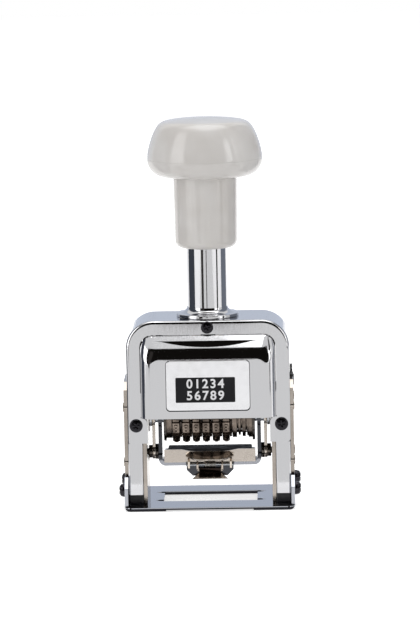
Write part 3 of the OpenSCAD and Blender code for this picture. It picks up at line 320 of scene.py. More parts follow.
def satin_metal(name, low_hex, high_hex, rough, cloud_mm=4.0, grain_strength=0.12):
    """A duller metal whose colour clouds over cloud_mm."""
    material, tree, shader = finish_for(name, high_hex, 1.0, rough)
    clouds = grain(tree, cloud_mm, 2.0)
    wire(tree, two_tone(tree, clouds, low_hex, high_hex), shader, "Base Color")
    wire(tree, spread(tree, grain(tree, SHEEN_MM, 1.0), rough - 0.04, rough + 0.04), shader, "Roughness")
    relief(tree, shader, grain(tree, GRAIN_MM, 1.0), 0.01, grain_strength)
    return material


# Nickel is a warm white; on broad sheet its grain is nearly gone, so it mirrors softly
nickel_sheet = satin_metal("satin_nickel_sheet", "#BBB2A9", "#C6BEB5", 0.26, 12.0, 0.02)
plate_nickel = satin_metal("nickel_plated_side_sheet", "#A29A92", "#AEA69E", 0.2, 12.0, 0.02)
dark_steel = satin_metal("dark_nickel_steel", "#45413E", "#5C5752", 0.2, 6.0, 0.03)
# Zinc is bluer and greyer; drawn spring wire is grey and shows its grain
zinc_steel = satin_metal("zinc_plated_steel", "#9A9DA1", "#BCBFC3", 0.24)
spring_steel = satin_metal("drawn_spring_steel", "#84827F", "#AAA7A2", 0.22)
# The wheels' bronze is brown from ink and oil, and the bush's brass is still yellow
wheel_bronze = satin_metal("engraved_wheel_bronze", "#5A514A", "#8A7E74", 0.3)
bush_brass = satin_metal("turned_brass", "#A8843A", "#C9A558", 0.28)
# The label is satin aluminium, nearly white and very even
label_silver = satin_metal("satin_aluminium_label", "#E6E6E8", "#EAEAEC", 0.12, 14.0, 0.01)
print("satin metals made")

# %% [markdown]
# ### Blackened steel
# The screws are blackened in hot oxide: a thin brown-black film over steel, worn brighter in specks.
# Black paint would hide the metal, so this stays a metal with a dark colour.

# %% Black oxide
def black_oxide(name, low_hex, high_hex, rough, speck_mm=0.4):
    """Blackened metal, with brighter and smoother specks of speck_mm."""
    material, tree, shader = finish_for(name, high_hex, 1.0, rough)
    specks = grain(tree, speck_mm, 3.0)
    wire(tree, two_tone(tree, specks, low_hex, high_hex, 0.45, 0.75), shader, "Base Color")
    wire(tree, spread(tree, specks, rough - 0.06, rough + 0.1), shader, "Roughness")
    relief(tree, shader, grain(tree, speck_mm / 2, 2.0), 0.01, 0.2)
    return material


black_screw = black_oxide("black_oxide_screw", "#28272A", "#434246", 0.2)
print("blackened", black_screw.name)

# %% [markdown]
# ### Two-toned metals
# The lever is brighter on its lip and ears, the yoke on its lower strip, and the tray's tongue is
# darkened with a painted reflection. Each mark is a ramp along an axis, in millimetres from the shared
# origin, and ramps are combined by Maximum for "or" and Minimum for "and".

# %% Lever, yoke and tray
def worn_lever():
    """Dark nickel, bright along the lip's lower rim and on the ears."""
    lip_z, ear_x = (11.0, 10.5), (4.3, 4.6)
    material, tree, shader = finish_for("dark_nickel_bright_lip_and_ears", "#3A322D", 1.0, 0.22)
    on_lip = ramp_mm(tree, "Z", *lip_z)
    on_ears = ramp_mm(tree, "X", *ear_x, mirror=True)
    brighter_part = add_node(tree, "ShaderNodeMath", {0: on_lip, 1: on_ears}, operation="MAXIMUM").outputs[0]
    wire(tree, blend(tree, brighter_part, "#2E2622", "#C4B8AC"), shader, "Base Color")
    wire(tree, spread(tree, grain(tree, 0.6, 3.0), 0.16, 0.3), shader, "Roughness")
    return material


def bent_yoke():
    """Dark chrome, brighter along the bottom strip on either side of the tab."""
    strip_z, past_tab_x = (17.6, 16.9), (9.4, 9.8)
    material, tree, shader = finish_for("dark_chromed_steel", "#46474B", 1.0, 0.16)
    on_strip = ramp_mm(tree, "Z", *strip_z)
    past_tab = ramp_mm(tree, "X", *past_tab_x, mirror=True)
    brighter_part = add_node(tree, "ShaderNodeMath", {0: on_strip, 1: past_tab}, operation="MINIMUM").outputs[0]
    wire(tree, blend(tree, brighter_part, "#46474B", "#A2A4AA"), shader, "Base Color")
    wire(tree, spread(tree, grain(tree, 0.6, 3.0), 0.12, 0.22), shader, "Roughness")
    return material


def worn_tray():
    """Nickel with a tongue darkened as a painted reflection of the dark parts above it, and a bright oval
    rim round the dark patch.
    """
    tongue_y = (-7.7, -8.1)
    oval_x, oval_y = 9.6, 5.4  # half sizes in mm
    oval_shift = 1.333  # how far in front the oval's middle lies, in its half sizes
    rim_from, rim_to = 0.66, 0.74
    material, tree, shader = finish_for("satin_nickel_painted_dark_reflection", "#C6BEB5", 1.0, 0.24)
    # Painted reflection: the tongue is darkened for the wheels and carriage that its dish mirrors
    tongue = ramp_mm(tree, "Y", *tongue_y)
    place = add_node(tree, "ShaderNodeTexCoord")
    dish = add_node(
        tree,
        "ShaderNodeMapping",
        {"Vector": place.outputs["Object"]},
        Location=(0, oval_shift, 0),
        Scale=(1 / (oval_x * MM), 1 / (oval_y * MM), 0),
    )
    reach = add_node(tree, "ShaderNodeVectorMath", {0: dish.outputs["Vector"]}, operation="LENGTH")
    edge = spread(tree, reach.outputs["Value"], 0.0, 1.0, rim_from, rim_to)
    rim = add_node(tree, "ShaderNodeMath", {0: edge, 1: tongue}, operation="MINIMUM").outputs[0]
    painted_dark_tongue = blend(tree, tongue, "#C2B9B0", "#7D756F")
    bright = add_node(tree, "ShaderNodeMix", {MIX_AMOUNT: rim, MIX_LOW: painted_dark_tongue}, data_type="RGBA")
    bright.inputs[MIX_HIGH].default_value = linear("#E2D8CC")
    wire(tree, bright.outputs[MIX_RESULT], shader, "Base Color")
    wire(tree, spread(tree, grain(tree, SHEEN_MM, 1.0), 0.2, 0.28), shader, "Roughness")
    return material


# The tray's dark tongue is a painted reflection
lever_steel, yoke_steel, tray_nickel_painted_reflection = worn_lever(), bent_yoke(), worn_tray()
print("worn finishes", lever_steel.name, yoke_steel.name, tray_nickel_painted_reflection.name)

# %% [markdown]
# ### Plastics, rubber, felt and print
# The knob is moulded in glossy grey-white plastic: its colour clouds slightly where the melt flowed,
# and the mould leaves a faint orange peel. Rubber, dial and printed film are made the same way in
# other colours. The pad is felt soaked with ink, dull and rough.

# %% Moulded plastics and soaked felt
def moulded_plastic(name, low_hex, high_hex, rough, ior=1.5):
    """Plastic with flow clouding 12 mm across, an uneven gloss and a mould texture of 0.8 mm."""
    material, tree, shader = finish_for(name, high_hex, 0.0, rough, IOR=ior)
    wire(tree, two_tone(tree, grain(tree, 12.0, 1.0), low_hex, high_hex), shader, "Base Color")
    wire(tree, spread(tree, grain(tree, 2.0, 3.0), rough - 0.05, rough + 0.05), shader, "Roughness")
    relief(tree, shader, grain(tree, 0.8, 1.0), 0.01, 0.15)
    return material


def soaked_felt():
    """Felt with fibres drawn 0.25 mm thick so that they show, and ink in patches of 3 mm."""
    material, tree, shader = finish_for("inked_felt", "#1B1A1D", 0.0, 0.75)
    wire(tree, two_tone(tree, grain(tree, 3.0, 3.0), "#0D0C10", "#2C2A2E"), shader, "Base Color")
    wire(tree, spread(tree, grain(tree, 3.0, 2.0), 0.5, 0.9), shader, "Roughness")
    relief(tree, shader, grain(tree, 0.25, 4.0), 0.15, 0.7)
    return material


# The knob has a wet gloss; rubber and dial are duller, so they show soft highlights only
knob_plastic = moulded_plastic("glossy_moulded_knob", "#D2CECA", "#DAD7D4", 0.14)
black_rubber = moulded_plastic("moulded_black_rubber", "#161518", "#232226", 0.4, 1.45)
dial_black = moulded_plastic("moulded_black_dial", "#19191B", "#28282B", 0.38)
# Printed film is matt; its low IOR keeps the lamps out of the dark field
label_black = moulded_plastic("black_printed_film", "#1A1A1D", "#1F1F22", 0.5, 1.25)
label_print = moulded_plastic("white_printed_ink", "#E4E4E6", "#EDEDEF", 0.45)
pad_felt = soaked_felt()
print("plastics and felt made")

# %% [markdown]
# Each construction node has a slot, which says what its surface is made of. A table gives each slot
# its finish, so a node that no drawn piece replaces still looks right.

# %% Every construction node takes the finish of its slot
finishes = {
    "chrome_plate": chrome,
    "nickel_sheet": nickel_sheet,
    "black_screw": black_screw,
    "black_rubber": black_rubber,
    "label_silver": label_silver,
    "label_black": label_black,
    "knob_plastic": knob_plastic,
    "zinc_steel": zinc_steel,
    "spring_steel": spring_steel,
    "bush_brass": bush_brass,
    "dark_steel": dark_steel,
    "wheel_bronze": wheel_bronze,
    "pad_felt": pad_felt,
    "dial_black": dial_black,
}
slot_of = {}
for node_name, node in frame["nodes"].items():
    for place, old in enumerate(node.data.materials):
        slot_of[node_name] = old.name.split(".")[0]
        node.data.materials[place] = finishes[slot_of[node_name]]
body_of = {node: body for body, nodes in frame["record"]["behaviour"]["bodies"].items() for node in nodes}
print("finishes on", len(slot_of), "nodes")

# %% [markdown]
# ## The handle
# The knob, its underside and the sleeve are turned shapes. One could scale a sphere, but the side of
# this knob is flatter than a ball's, so its outline is drawn point by point and spun.

# %% A profile drawn point by point and spun
def drawn_line(name, points):
    """A line extruded from point to point, in metres."""
    deselect()
    bpy.ops.mesh.primitive_plane_add(size=MM, location=points[0])
    obj = named(name)
    settle(obj)
    edit_mesh(obj)
    bpy.ops.mesh.select_all(action="SELECT")
    bpy.ops.mesh.merge(type="CENTER")
    for start, end in zip(points, points[1:]):
        bpy.ops.mesh.extrude_region_move(TRANSFORM_OT_translate={"value": end - start})
    leave_edit()
    return obj


def turned(name, profile, steps=96, axis=(0, 0, 1), out=(1, 0, 0)):
    """Draws (radius, place along the axis) points in mm, and spins them round the axis."""
    axis, out = Vector(axis), Vector(out)
    obj = drawn_line(name, [out * r * MM + axis * along * MM for r, along in profile])
    edit_mesh(obj)
    bpy.ops.mesh.select_all(action="SELECT")
    bpy.ops.mesh.spin(steps=steps, angle=2 * math.pi, center=(0, 0, 0), axis=axis)
    leave_edit()
    fix_normals(obj)
    return obj


# %% [markdown]
# A profile is mostly straight runs and round turns. The turns are worked out from a middle, a radius
# and two angles, which keeps them even; a free outline is a few points with a smooth curve through.

# %% Turns and curves of a profile
def oval(middle_r, middle_z, half_r, half_z, start, end, count):
    """Points of an oval turn, angles in degrees from the outward direction."""
    angles = [math.radians(start + (end - start) * i / count) for i in range(count + 1)]
    return [(middle_r + half_r * math.cos(a), middle_z + half_z * math.sin(a)) for a in angles]


def arc(middle_r, middle_z, radius, start, end, count):
    """Points of a round turn."""
    return oval(middle_r, middle_z, radius, radius, start, end, count)


def between(t, a, b, c, d):
    """The value at a share t of the way from b to c, on a smooth curve through a, b, c and d."""
    slope, bend, twist = c - a, 2 * a - 5 * b + 4 * c - d, 3 * (b - c) + d - a
    return b + 0.5 * t * (slope + t * (bend + t * twist))


def through(points, cuts=4):
    """A smooth curve through profile points, each run between two of them cut into cuts."""
    ends = [points[0], *points, points[-1]]
    curve = []
    for four in zip(ends, ends[1:], ends[2:], ends[3:]):
        for i in range(cuts):
            curve.append(tuple(between(i / cuts, *(point[k] for point in four)) for k in (0, 1)))
    return [*curve, points[-1]]


# %% [markdown]
# ### Knob cap
# The cap is a moulded shell, glued to its underside at the belly. Its side leans inwards, its shoulder
# is tight and its crown is nearly flat, so the outline is given as points. A tiny round on each rim
# leaves the hair-thin groove of the parting line.

# %% Knob cap
belly_r, belly_z, knob_bore = 22.9, 138.0, 10.9
seam_in, seam_round, glue_land = 0.04, 0.1, 1.0
cap_side = [(22.85, 138.3), (22.72, 139.8), (22.42, 141.6), (21.95, 143.5), (21.3, 145.6), (20.45, 147.8)]
cap_shoulder = [(19.45, 149.8), (18.55, 151.15), (17.5, 152.15), (16.3, 152.75), (14.9, 153.1)]
cap_crown = [(11.5, 153.55), (7.5, 153.9), (3.5, 154.1), (0.0, 154.15)]
cap_profile = (
    [(knob_bore, belly_z), (belly_r - glue_land, belly_z)]
    + arc(belly_r - seam_in - seam_round, belly_z + seam_round, seam_round, -90, 0, 3)
    + through(cap_side + cap_shoulder + cap_crown)
)
cap = turned("knob_cap_shell", cap_profile, 128)
smooth(cap, 40)
dress(cap, knob_plastic, "plunger", "knob_plastic", "knob_cap")

# %% [markdown]
# ### Knob underside
# Below the belly the knob turns in over a quarter oval to a flat ring round the sleeve. It is a piece
# of its own, as on the real knob, and shares the cap's seam.

# %% Knob underside
under_turn, under_z, ring_r, ring_in = 7.0, 131.0, 12.9, 0.2
under_profile = (
    [(knob_bore, belly_z), (belly_r - glue_land, belly_z)]
    + arc(belly_r - seam_in - seam_round, belly_z - seam_round, seam_round, 90, 0, 3)
    + oval(belly_r - under_turn, belly_z, under_turn, belly_z - under_z, -4, -90, 16)
    + [(ring_r, under_z), (ring_r - ring_in, under_z + ring_in), (knob_bore, under_z + ring_in)]
)
under = turned("knob_underside", under_profile, 128)
smooth(under, 40)
dress(under, knob_plastic, "plunger", "knob_plastic", "knob_base")

# %% [markdown]
# ### Sleeve
# The sleeve telescopes over the tube. It widens a little towards the knob, as a moulding does to leave
# its mould, and its neck runs up inside the knob to a roof with a hole for the rod.

# %% Sleeve
sleeve_foot, sleeve_top, foot_r, top_r, sleeve_bore = 102.4, 131.0, 12.3, 12.62, 8.4
foot_turn, bore_edge, neck_top, roof, rod_hole = 3.0, 0.3, 146.0, 2.0, 2.0
sleeve_profile = (
    [(sleeve_bore, neck_top - roof), (sleeve_bore, sleeve_foot + bore_edge)]
    + [(sleeve_bore + bore_edge, sleeve_foot)]
    + arc(foot_r - foot_turn, sleeve_foot + foot_turn, foot_turn, -88, 0, 14)
    + [(top_r, sleeve_top - 0.3), (top_r - 0.22, sleeve_top), (knob_bore, sleeve_top), (knob_bore, neck_top)]
    + [(rod_hole, neck_top), (rod_hole, neck_top - roof), (sleeve_bore, neck_top - roof)]
)
sleeve = turned("handle_sleeve_shell", sleeve_profile, 96)
smooth(sleeve, 40)
dress(sleeve, knob_plastic, "plunger", "knob_plastic", "handle_sleeve")

# %% [markdown]
# ## Tube and collar
# The plunger slides in a chromed tube. A cylinder with a bevel would do, but the same turned profile
# gives its bore and its two broken edges in one go.

# %% Guide tube
tube_r, tube_bore, tube_foot, tube_top, foot_edge, top_edge = 8.0, 6.5, 70.9, 120.0, 0.3, 0.4
tube_profile = (
    [(tube_bore, tube_foot), (tube_r - foot_edge, tube_foot), (tube_r, tube_foot + foot_edge)]
    + [(tube_r, tube_top - top_edge), (tube_r - top_edge, tube_top), (tube_bore, tube_top)]
    + [(tube_bore, tube_foot)]
)
tube = turned("chromed_tube", tube_profile, 96)
smooth(tube, 30)
dress(tube, chrome, "frame", "chrome_plate", "guide_tube")

# %% [markdown]
# The tube is screwed into a collar. It stands on the arch with a thick rounded rim and sweeps up to
# the tube in a hollow curve, which is a quarter of an oval.

# %% Collar
arch_top, collar_r, rim_h, rim_low, rim_high = 74.8, 12.45, 1.0, 0.35, 0.4
sweep_r, sweep_z, sweep_out, sweep_up, collar_h = 12.0, 3.95, 3.85, 2.55, 3.9
collar_profile = (
    [(tube_r, arch_top), (collar_r - rim_low, arch_top)]
    + arc(collar_r - rim_low, arch_top + rim_low, rim_low, -90, 0, 4)
    + arc(collar_r - rim_high, arch_top + rim_h, rim_high, 0, 80, 4)
    + oval(sweep_r, arch_top + sweep_z, sweep_out, sweep_up, -92, -177, 20)
    + [(tube_r + 0.1, arch_top + collar_h), (tube_r, arch_top + collar_h), (tube_r, arch_top)]
)
collar = turned("collar_ring", collar_profile, 96)
smooth(collar, 30)
dress(collar, chrome, "frame", "chrome_plate", "collar_flange")

# %% [markdown]
# ## Sheet, bar and screw parts
# Every real stamped, milled or turned part has a small broken edge that catches the light. These
# shapes are right in the construction model, so a copy of each one is merged, its flat faces are
# joined, and its edges get a bevel of a real size before the copy stands in for the node.

# %% Copies with broken edges
def copy_of(node, name):
    """A merged copy of a construction node, flat faces joined, as a new object at the origin."""
    deselect()
    obj = bpy.data.objects.new(name, frame["nodes"][node].data.copy())
    bpy.context.scene.collection.objects.link(obj)
    obj.data.name = name
    edit_mesh(obj)
    bpy.ops.mesh.customdata_custom_splitnormals_clear()
    bpy.ops.mesh.select_all(action="SELECT")
    bpy.ops.mesh.remove_doubles(threshold=0.000002)
    bpy.ops.mesh.dissolve_limited(angle_limit=math.radians(0.4))
    leave_edit()
    return obj


def broken_edges(obj, width_mm, segments=2, degrees=38):
    """Bevels every edge that turns by more than degrees, and smooths the rest."""
    apply_modifier(
        obj,
        "BEVEL",
        width=width_mm * MM,
        segments=segments,
        limit_method="ANGLE",
        angle_limit=math.radians(degrees),
        use_clamp_overlap=True,
        miter_outer="MITER_ARC",
    )
    smooth(obj, 32)


# %% [markdown]
# Sheet is stamped and nearly sharp, turned and milled parts are broken by hand, and rubber is moulded
# round. One table gives each part's edge, and another the parts whose finish isn't that of their slot.

# %% Which edge each part has, in mm
edge_groups = (
    (0.25, "base_plate"),
    (0.12, "base_screws_left base_screws_right"),
    (0.45, "foot_buffers"),
    (0.3, "front_post_left front_post_right rear_post_left rear_post_right"),
    (0.12, "guide_plate_left guide_plate_right"),
    (0.2, "side_plate_left side_plate_right"),
    (0.12, "side_rivets"),
    (0.3, "ring_nut"),
    (0.2, "tube_bush plunger_rod rod_nuts"),
    (0.15, "spring_seat carriage_frame"),
    (0.3, "guide_blocks"),
    (0.15, "tie_rods"),
    (0.2, "wheel_axle axle_nuts"),
    (0.1, "wheel_spacers"),
    (0.05, "detent_comb"),
    (0.15, "feed_shaft"),
    (0.05, "feed_comb"),
    (0.04, "feed_fingers"),
    (0.06, "ratchet_1 ratchet_2 ratchet_3 ratchet_4 ratchet_5 ratchet_6"),
    (0.25, "pad_yoke"),
    (0.2, "yoke_links yoke_rollers"),
    (0.1, "latch_pin"),
    (0.15, "selector_dial"),
    (0.06, "selector_screw"),
)
side_sheets = "side_plate_left side_plate_right side_rivets guide_plate_left guide_plate_right"
own_finish = {"base_plate": base_plate_painted_shade_chrome, "pad_yoke": yoke_steel}
own_finish.update(dict.fromkeys(side_sheets.split(), plate_nickel))
for width, names in edge_groups:
    for node in names.split():
        part = copy_of(node, node + "_part")
        broken_edges(part, width)
        finish = own_finish.get(node, finishes[slot_of[node]])
        dress(part, finish, body_of[node], slot_of[node], node)

# %% [markdown]
# ### Screws in the arch
# A pan head is turned with a low dome, so that it mirrors a dark room above and a pale floor below.
# The cross recess is pressed in by two tapered blades. One screw of each size is made, and those that
# are seen are copies of it.

# %% Pan-head screws
head_h, thread_r, thread_l, face_y = 1.2, 1.3, 4.5, 15.0
rim_chamfer, rim_up, dome_in, blade_l = 0.15, 0.35, 1.1, 2.0
blade_long, blade_wide, blade_taper = 1.25, 0.36, 0.6  # the first two are shares of the head's radius


def pan_screw(name, head_r):
    """A screw that points up from the origin, its head above z 0."""
    profile = (
        [(0, -thread_l), (thread_r, -thread_l), (thread_r, 0)]
        + [(head_r - rim_chamfer, 0), (head_r, rim_chamfer), (head_r, rim_up)]
        + oval(head_r - dome_in, rim_up, dome_in, head_h - 0.55, 5, 70, 6)
        + [(0.8, head_h - 0.02), (0, head_h)]
    )
    obj = turned(name, profile, 48)
    for blade_turn in (0, 90):
        deselect()
        bpy.ops.mesh.primitive_cube_add(size=1, location=(0, 0, (head_h + 0.1) * MM))
        blade = named("blade")
        blade.scale = (head_r * blade_long * MM, head_r * blade_wide * MM, blade_l * MM)
        blade.rotation_euler = (0, 0, math.radians(blade_turn))
        settle(blade)
        edit_mesh(blade)
        choose(blade, "VERT", lambda v: v.co.z < 0.5 * MM)
        bpy.ops.transform.resize(value=(blade_taper, blade_taper, 1))
        leave_edit()
        apply_modifier(obj, "BOOLEAN", object=blade, operation="DIFFERENCE", solver="EXACT")
        bpy.data.objects.remove(blade)
    broken_edges(obj, 0.07, 2, 40)
    return obj


# %% [markdown]
# Two screws hold the lower lobes and a smaller one the top band. They are driven home at odd angles,
# so each one is turned on its own axis before it is laid over to face the front or the back.

# %% Three screws on each face
screw_places = ((-28.9, 33.0, 2.65, 38), (28.9, 33.0, 2.65, 12), (0.0, 72.05, 2.45, 25))
screw_of_size = {head_r: pan_screw("pan_screw", head_r) for head_r in (2.65, 2.45)}


def screw_row(name, side):
    """The three screws of the front (side 1) or the back (side -1) of the arch."""
    row = []
    for x, z, head_r, spin_deg in screw_places:
        screw = twin(screw_of_size[head_r], "screw")
        screw.rotation_euler = (0, 0, math.radians(spin_deg))
        settle(screw)
        screw.rotation_euler = (math.radians(90 * side), 0, 0)
        screw.location = (x * MM, -side * face_y * MM, z * MM)
        settle(screw)
        row.append(screw)
    return join(name, row)


dress(screw_row("front_screw_set", 1), black_screw, "frame", "black_screw", "face_screws")
dress(screw_row("rear_screw_set", -1), black_screw, "frame", "black_screw", "rear_screws")
for screw in screw_of_size.values():
    bpy.data.objects.remove(screw)

# %% [markdown]
# ## The arch
# The arch is drawn from one sheet: a broad bend all round its front and back, so that its outer
# corner is a soft fillet, while the opening's rim is crisp. One bevel for all edges would round both
# alike, so the copy's long outer edges get a wide one by hand, and all the others a fine one.

# %% Arch
arch = copy_of("arch_frame", "drawn_arch")
edit_mesh(arch)
half_depth, outer_x, top_z, corner = 0.015, 0.0324, 0.0748, 0.011
near_face, near_side, near_turn = 0.00002, 0.00003, 0.0001


def on_outer_rim(edge):
    """The edges where the arch's front or back face meets its outer band."""
    for v in edge.verts:
        if abs(abs(v.co.y) - half_depth) > near_face:
            return False
        from_corner = Vector((abs(v.co.x) - (outer_x - corner), v.co.z - (top_z - corner)))
        on_side = abs(abs(v.co.x) - outer_x) < near_side
        on_top = abs(v.co.z - top_z) < near_side
        past_corner = from_corner.x > 0 and from_corner.y > 0
        on_turn = past_corner and abs(from_corner.length - corner) < near_turn
        if not (on_side or on_top or on_turn):
            return False
    return True


print("rim edges", choose(arch, "EDGE", on_outer_rim))
bpy.ops.mesh.bevel(
    offset=1.3 * MM, offset_type="OFFSET", segments=6, profile=0.5, affect="EDGES", clamp_overlap=False
)
leave_edit()
broken_edges(arch, 0.18, 2, 50)
smooth(arch, 30)
dress(arch, chrome, "frame", "chrome_plate", "arch_frame")

# %% [markdown]
# ## The covers
# Each cover is a pillow pressed from thin sheet: a flat crown that turns back over a wide radius to a
# slope at the top, soft sides, and an open lower edge. A bevelled block would leave the crown's corners
# sharp, so the outline is drawn and extruded ring by ring, each ring scaled to the next depth.

# %% Size of each ring
cover_foot, cover_top, cover_x, corner_r = 36.3, 68.79, 26.75, 5.0
crown_y, rim_y, seat_y, wall = 20.0, 15.0, 13.6, 1.0
side_r, turn_r, slope_rise, slope_depth, slope_z = 4.4, 8.0, 1.2908, 1.675, 64.5


def ring_size(depth):
    """Half width and height of the pillow's outline at a depth behind the crown, in mm."""
    rest = max(side_r - depth, 0.0)
    half = cover_x - side_r + math.sqrt(side_r**2 - rest**2)
    if depth > slope_depth:
        high = slope_z + (depth - slope_depth) * slope_rise
    else:
        turn_foot = slope_z - math.sqrt(turn_r**2 - (turn_r - slope_depth) ** 2)
        high = turn_foot + math.sqrt(turn_r**2 - (turn_r - depth) ** 2)
    return half, high - cover_foot


print("crown", ring_size(0.0), "rim", ring_size(crown_y - rim_y))

# %% [markdown]
# The crescent at the top of the front cover looks like the mark of a round tool. It could be sculpted,
# but the edge of a wide drum that leans back leaves the right outline by itself.

# %% Crescent
dent_y, dent_z, dent_r, dent_tilt, drum_l = 17.45, 64.4, 67.0, 20.0, 20.0


def press_crescent(obj):
    """Sinks the foot of a wide drum, tilted back, into the slope."""
    lean = math.radians(90 - dent_tilt)
    along = Vector((0, -math.sin(lean), math.cos(lean)))
    upward = Vector((0, math.cos(lean), math.sin(lean)))
    deselect()
    bpy.ops.mesh.primitive_cylinder_add(
        vertices=256, radius=dent_r * MM, depth=drum_l * MM, rotation=(lean, 0, 0)
    )
    drum = named("drum")
    drum.location = Vector((0, -dent_y, dent_z)) * MM + upward * dent_r * MM + along * drum_l / 2 * MM
    settle(drum)
    apply_modifier(obj, "BOOLEAN", object=drum, operation="DIFFERENCE", solver="EXACT")
    bpy.data.objects.remove(drum)


# %% [markdown]
# The pillow is built as a closed block, because the drum cuts cleanly only into one. Then the back and
# the bottom come away, and the shell that stays gets the thickness of the sheet.

# %% A pressed cover
def pressed_cover(name, with_crescent):
    """A cover that faces the front, its crown at -crown_y."""
    turns = [math.radians(5 * i) for i in range(19)]
    left = [
        (-cover_x + corner_r - corner_r * math.cos(a), cover_top - corner_r + corner_r * math.sin(a))
        for a in turns
    ]
    right = [(-x, z) for x, z in reversed(left)]
    foot_left, foot_right = (-cover_x, cover_foot), (cover_x, cover_foot)
    outline = [foot_left, *left, *right, foot_right, foot_left]
    obj = drawn_line(name, [Vector((x, -seat_y, z)) * MM for x, z in outline])
    edit_mesh(obj)
    bpy.ops.mesh.select_all(action="SELECT")
    bpy.ops.mesh.remove_doubles(threshold=0.00001)
    half, high, place = cover_x, cover_top - cover_foot, seat_y
    depths = [crown_y - rim_y, slope_depth] + [side_r * (1 - math.sin(a)) for a in turns]
    for depth in sorted(depths, reverse=True):
        new_half, new_high = ring_size(depth)
        step = (0, (place - crown_y + depth) * MM, 0)
        bpy.ops.mesh.extrude_region_move(TRANSFORM_OT_translate={"value": step})
        centre = (0, (depth - crown_y) * MM, cover_foot * MM)
        bpy.ops.transform.resize(value=(new_half / half, 1, new_high / high), center_override=centre)
        half, high, place = new_half, new_high, crown_y - depth
    bpy.ops.mesh.edge_face_add()

    def in_back(part):
        return all(v.co.y > -(seat_y + 0.01) * MM for v in part.verts)

    def in_bottom(part):
        return all(v.co.z < (cover_foot + 0.01) * MM for v in part.verts)

    choose(obj, "EDGE", in_back)
    bpy.ops.mesh.edge_face_add()
    leave_edit()
    fix_normals(obj)
    if with_crescent:
        press_crescent(obj)
    edit_mesh(obj)
    choose(obj, "FACE", lambda face: in_back(face) or in_bottom(face))
    bpy.ops.mesh.delete(type="FACE")
    leave_edit()
    apply_modifier(obj, "SOLIDIFY", thickness=wall * MM, offset=-1, use_even_offset=True)
    return obj


# %% [markdown]
# The rear cover is the same pressing without the crescent, mirrored to the back. A mirrored mesh is
# inside out, so its faces are turned outwards again.

# %% Front and rear cover
front = pressed_cover("front_cover_pressing", True)
broken_edges(front, 0.3, 3, 50)
dress(front, chrome, "frame", "chrome_plate", "front_cover")
rear = pressed_cover("rear_cover_pressing", False)
rear.scale = (1, -1, 1)
settle(rear)
fix_normals(rear, 0.000001)
broken_edges(rear, 0.12, 2, 50)
dress(rear, chrome, "frame", "chrome_plate", "rear_cover")

# %% [markdown]
# ## Number wheels
# A wheel is a turned drum with ten cast pads, and each pad carries one raised digit. It prints, so
# the digits are mirrored, and on the pads in front they stand upside down. One pad is a block with
# its upper edges bevelled. One could engrave the drum, but the pads stand proud, as the gaps between
# them show.

# %% One pad and its digit
axle_z, pitch, wheel_half, first_x = 33.7, 4.0, 1.5, -13.3
pad_foot, pad_top, pad_across, pad_bevel = 7.2, 9.5, 4.5, 0.5
digit_top, digit_size, digit_half, digit_narrow = 9.98, 4.6, 0.3, 0.92


def new_text(words, size, half_depth, curve_steps):
    """Text centred on the origin, not yet a mesh; size and half its depth in mm."""
    deselect()
    bpy.ops.object.text_add()
    text = bpy.context.object.data
    text.body = words
    text.size, text.extrude, text.resolution_u = size * MM, half_depth * MM, curve_steps
    text.align_x, text.align_y = "CENTER", "CENTER"
    return text


def digit_mesh(digit):
    """A raised digit, mirrored and lying on the pad that points up from the axle."""
    new_text(str(digit), digit_size, digit_half, 2)
    bpy.ops.object.convert(target="MESH")
    obj = named(f"digit_{digit}")
    obj.scale = (digit_narrow, -1, 1)
    obj.location = (0, 0, (digit_top - digit_half) * MM)
    settle(obj)
    fix_normals(obj, 0.000001)
    return obj


def pad_mesh():
    """One pad: a block with a bevel round its upper face."""
    deselect()
    bpy.ops.mesh.primitive_cube_add(size=1, location=(0, 0, (pad_top + pad_foot) / 2 * MM))
    obj = named("pad")
    obj.scale = (2 * wheel_half * MM, pad_across * MM, (pad_top - pad_foot) * MM)
    settle(obj)
    edit_mesh(obj)
    choose(obj, "EDGE", lambda e: all(v.co.z > (pad_top - 0.01) * MM for v in e.verts))
    bpy.ops.mesh.bevel(offset=pad_bevel * MM, segments=2, profile=0.6, affect="EDGES")
    leave_edit()
    return obj


# %% [markdown]
# One wheel is made: the drum, and each pad with its digit turned to its place round the axle. The six
# wheels are copies of it with meshes of their own, so that each can ride its own body.

# %% The wheel
drum_profile = (
    [(3.05, -1.45), (3.3, -wheel_half), (8.3, -wheel_half), (8.7, -1.2)]
    + [(8.7, 1.2), (8.3, wheel_half), (3.3, wheel_half), (3.05, 1.45), (3.05, -1.45)]
)
wheel_parts = [turned("drum", drum_profile, 40, axis=(1, 0, 0), out=(0, 0, 1))]
pad = pad_mesh()
for k in range(10):
    block = join("pad_and_digit", [twin(pad, "pad_copy"), digit_mesh((k + 5) % 10)])
    block.rotation_euler = (math.radians(36 * k), 0, 0)
    settle(block)
    wheel_parts.append(block)
bpy.data.objects.remove(pad)
wheel = join("wheel", wheel_parts)
smooth(wheel, 30)
for i in range(6):
    one = twin(wheel, f"digit_wheel_{i + 1}")
    one.location = ((first_x + pitch * i) * MM, 0, axle_z * MM)
    settle(one)
    dress(one, wheel_bronze, f"number_wheel_{i + 1}", "wheel_bronze", f"number_wheel_{i + 1}")
bpy.data.objects.remove(wheel)

# %% [markdown]
# ### Painted shade behind the wheels
# No light shows between the wheels, so a bent strip of dark sheet behind them stands in for the shade
# there. It is drawn as a line across, spun part of a turn round the axle and given its wall.

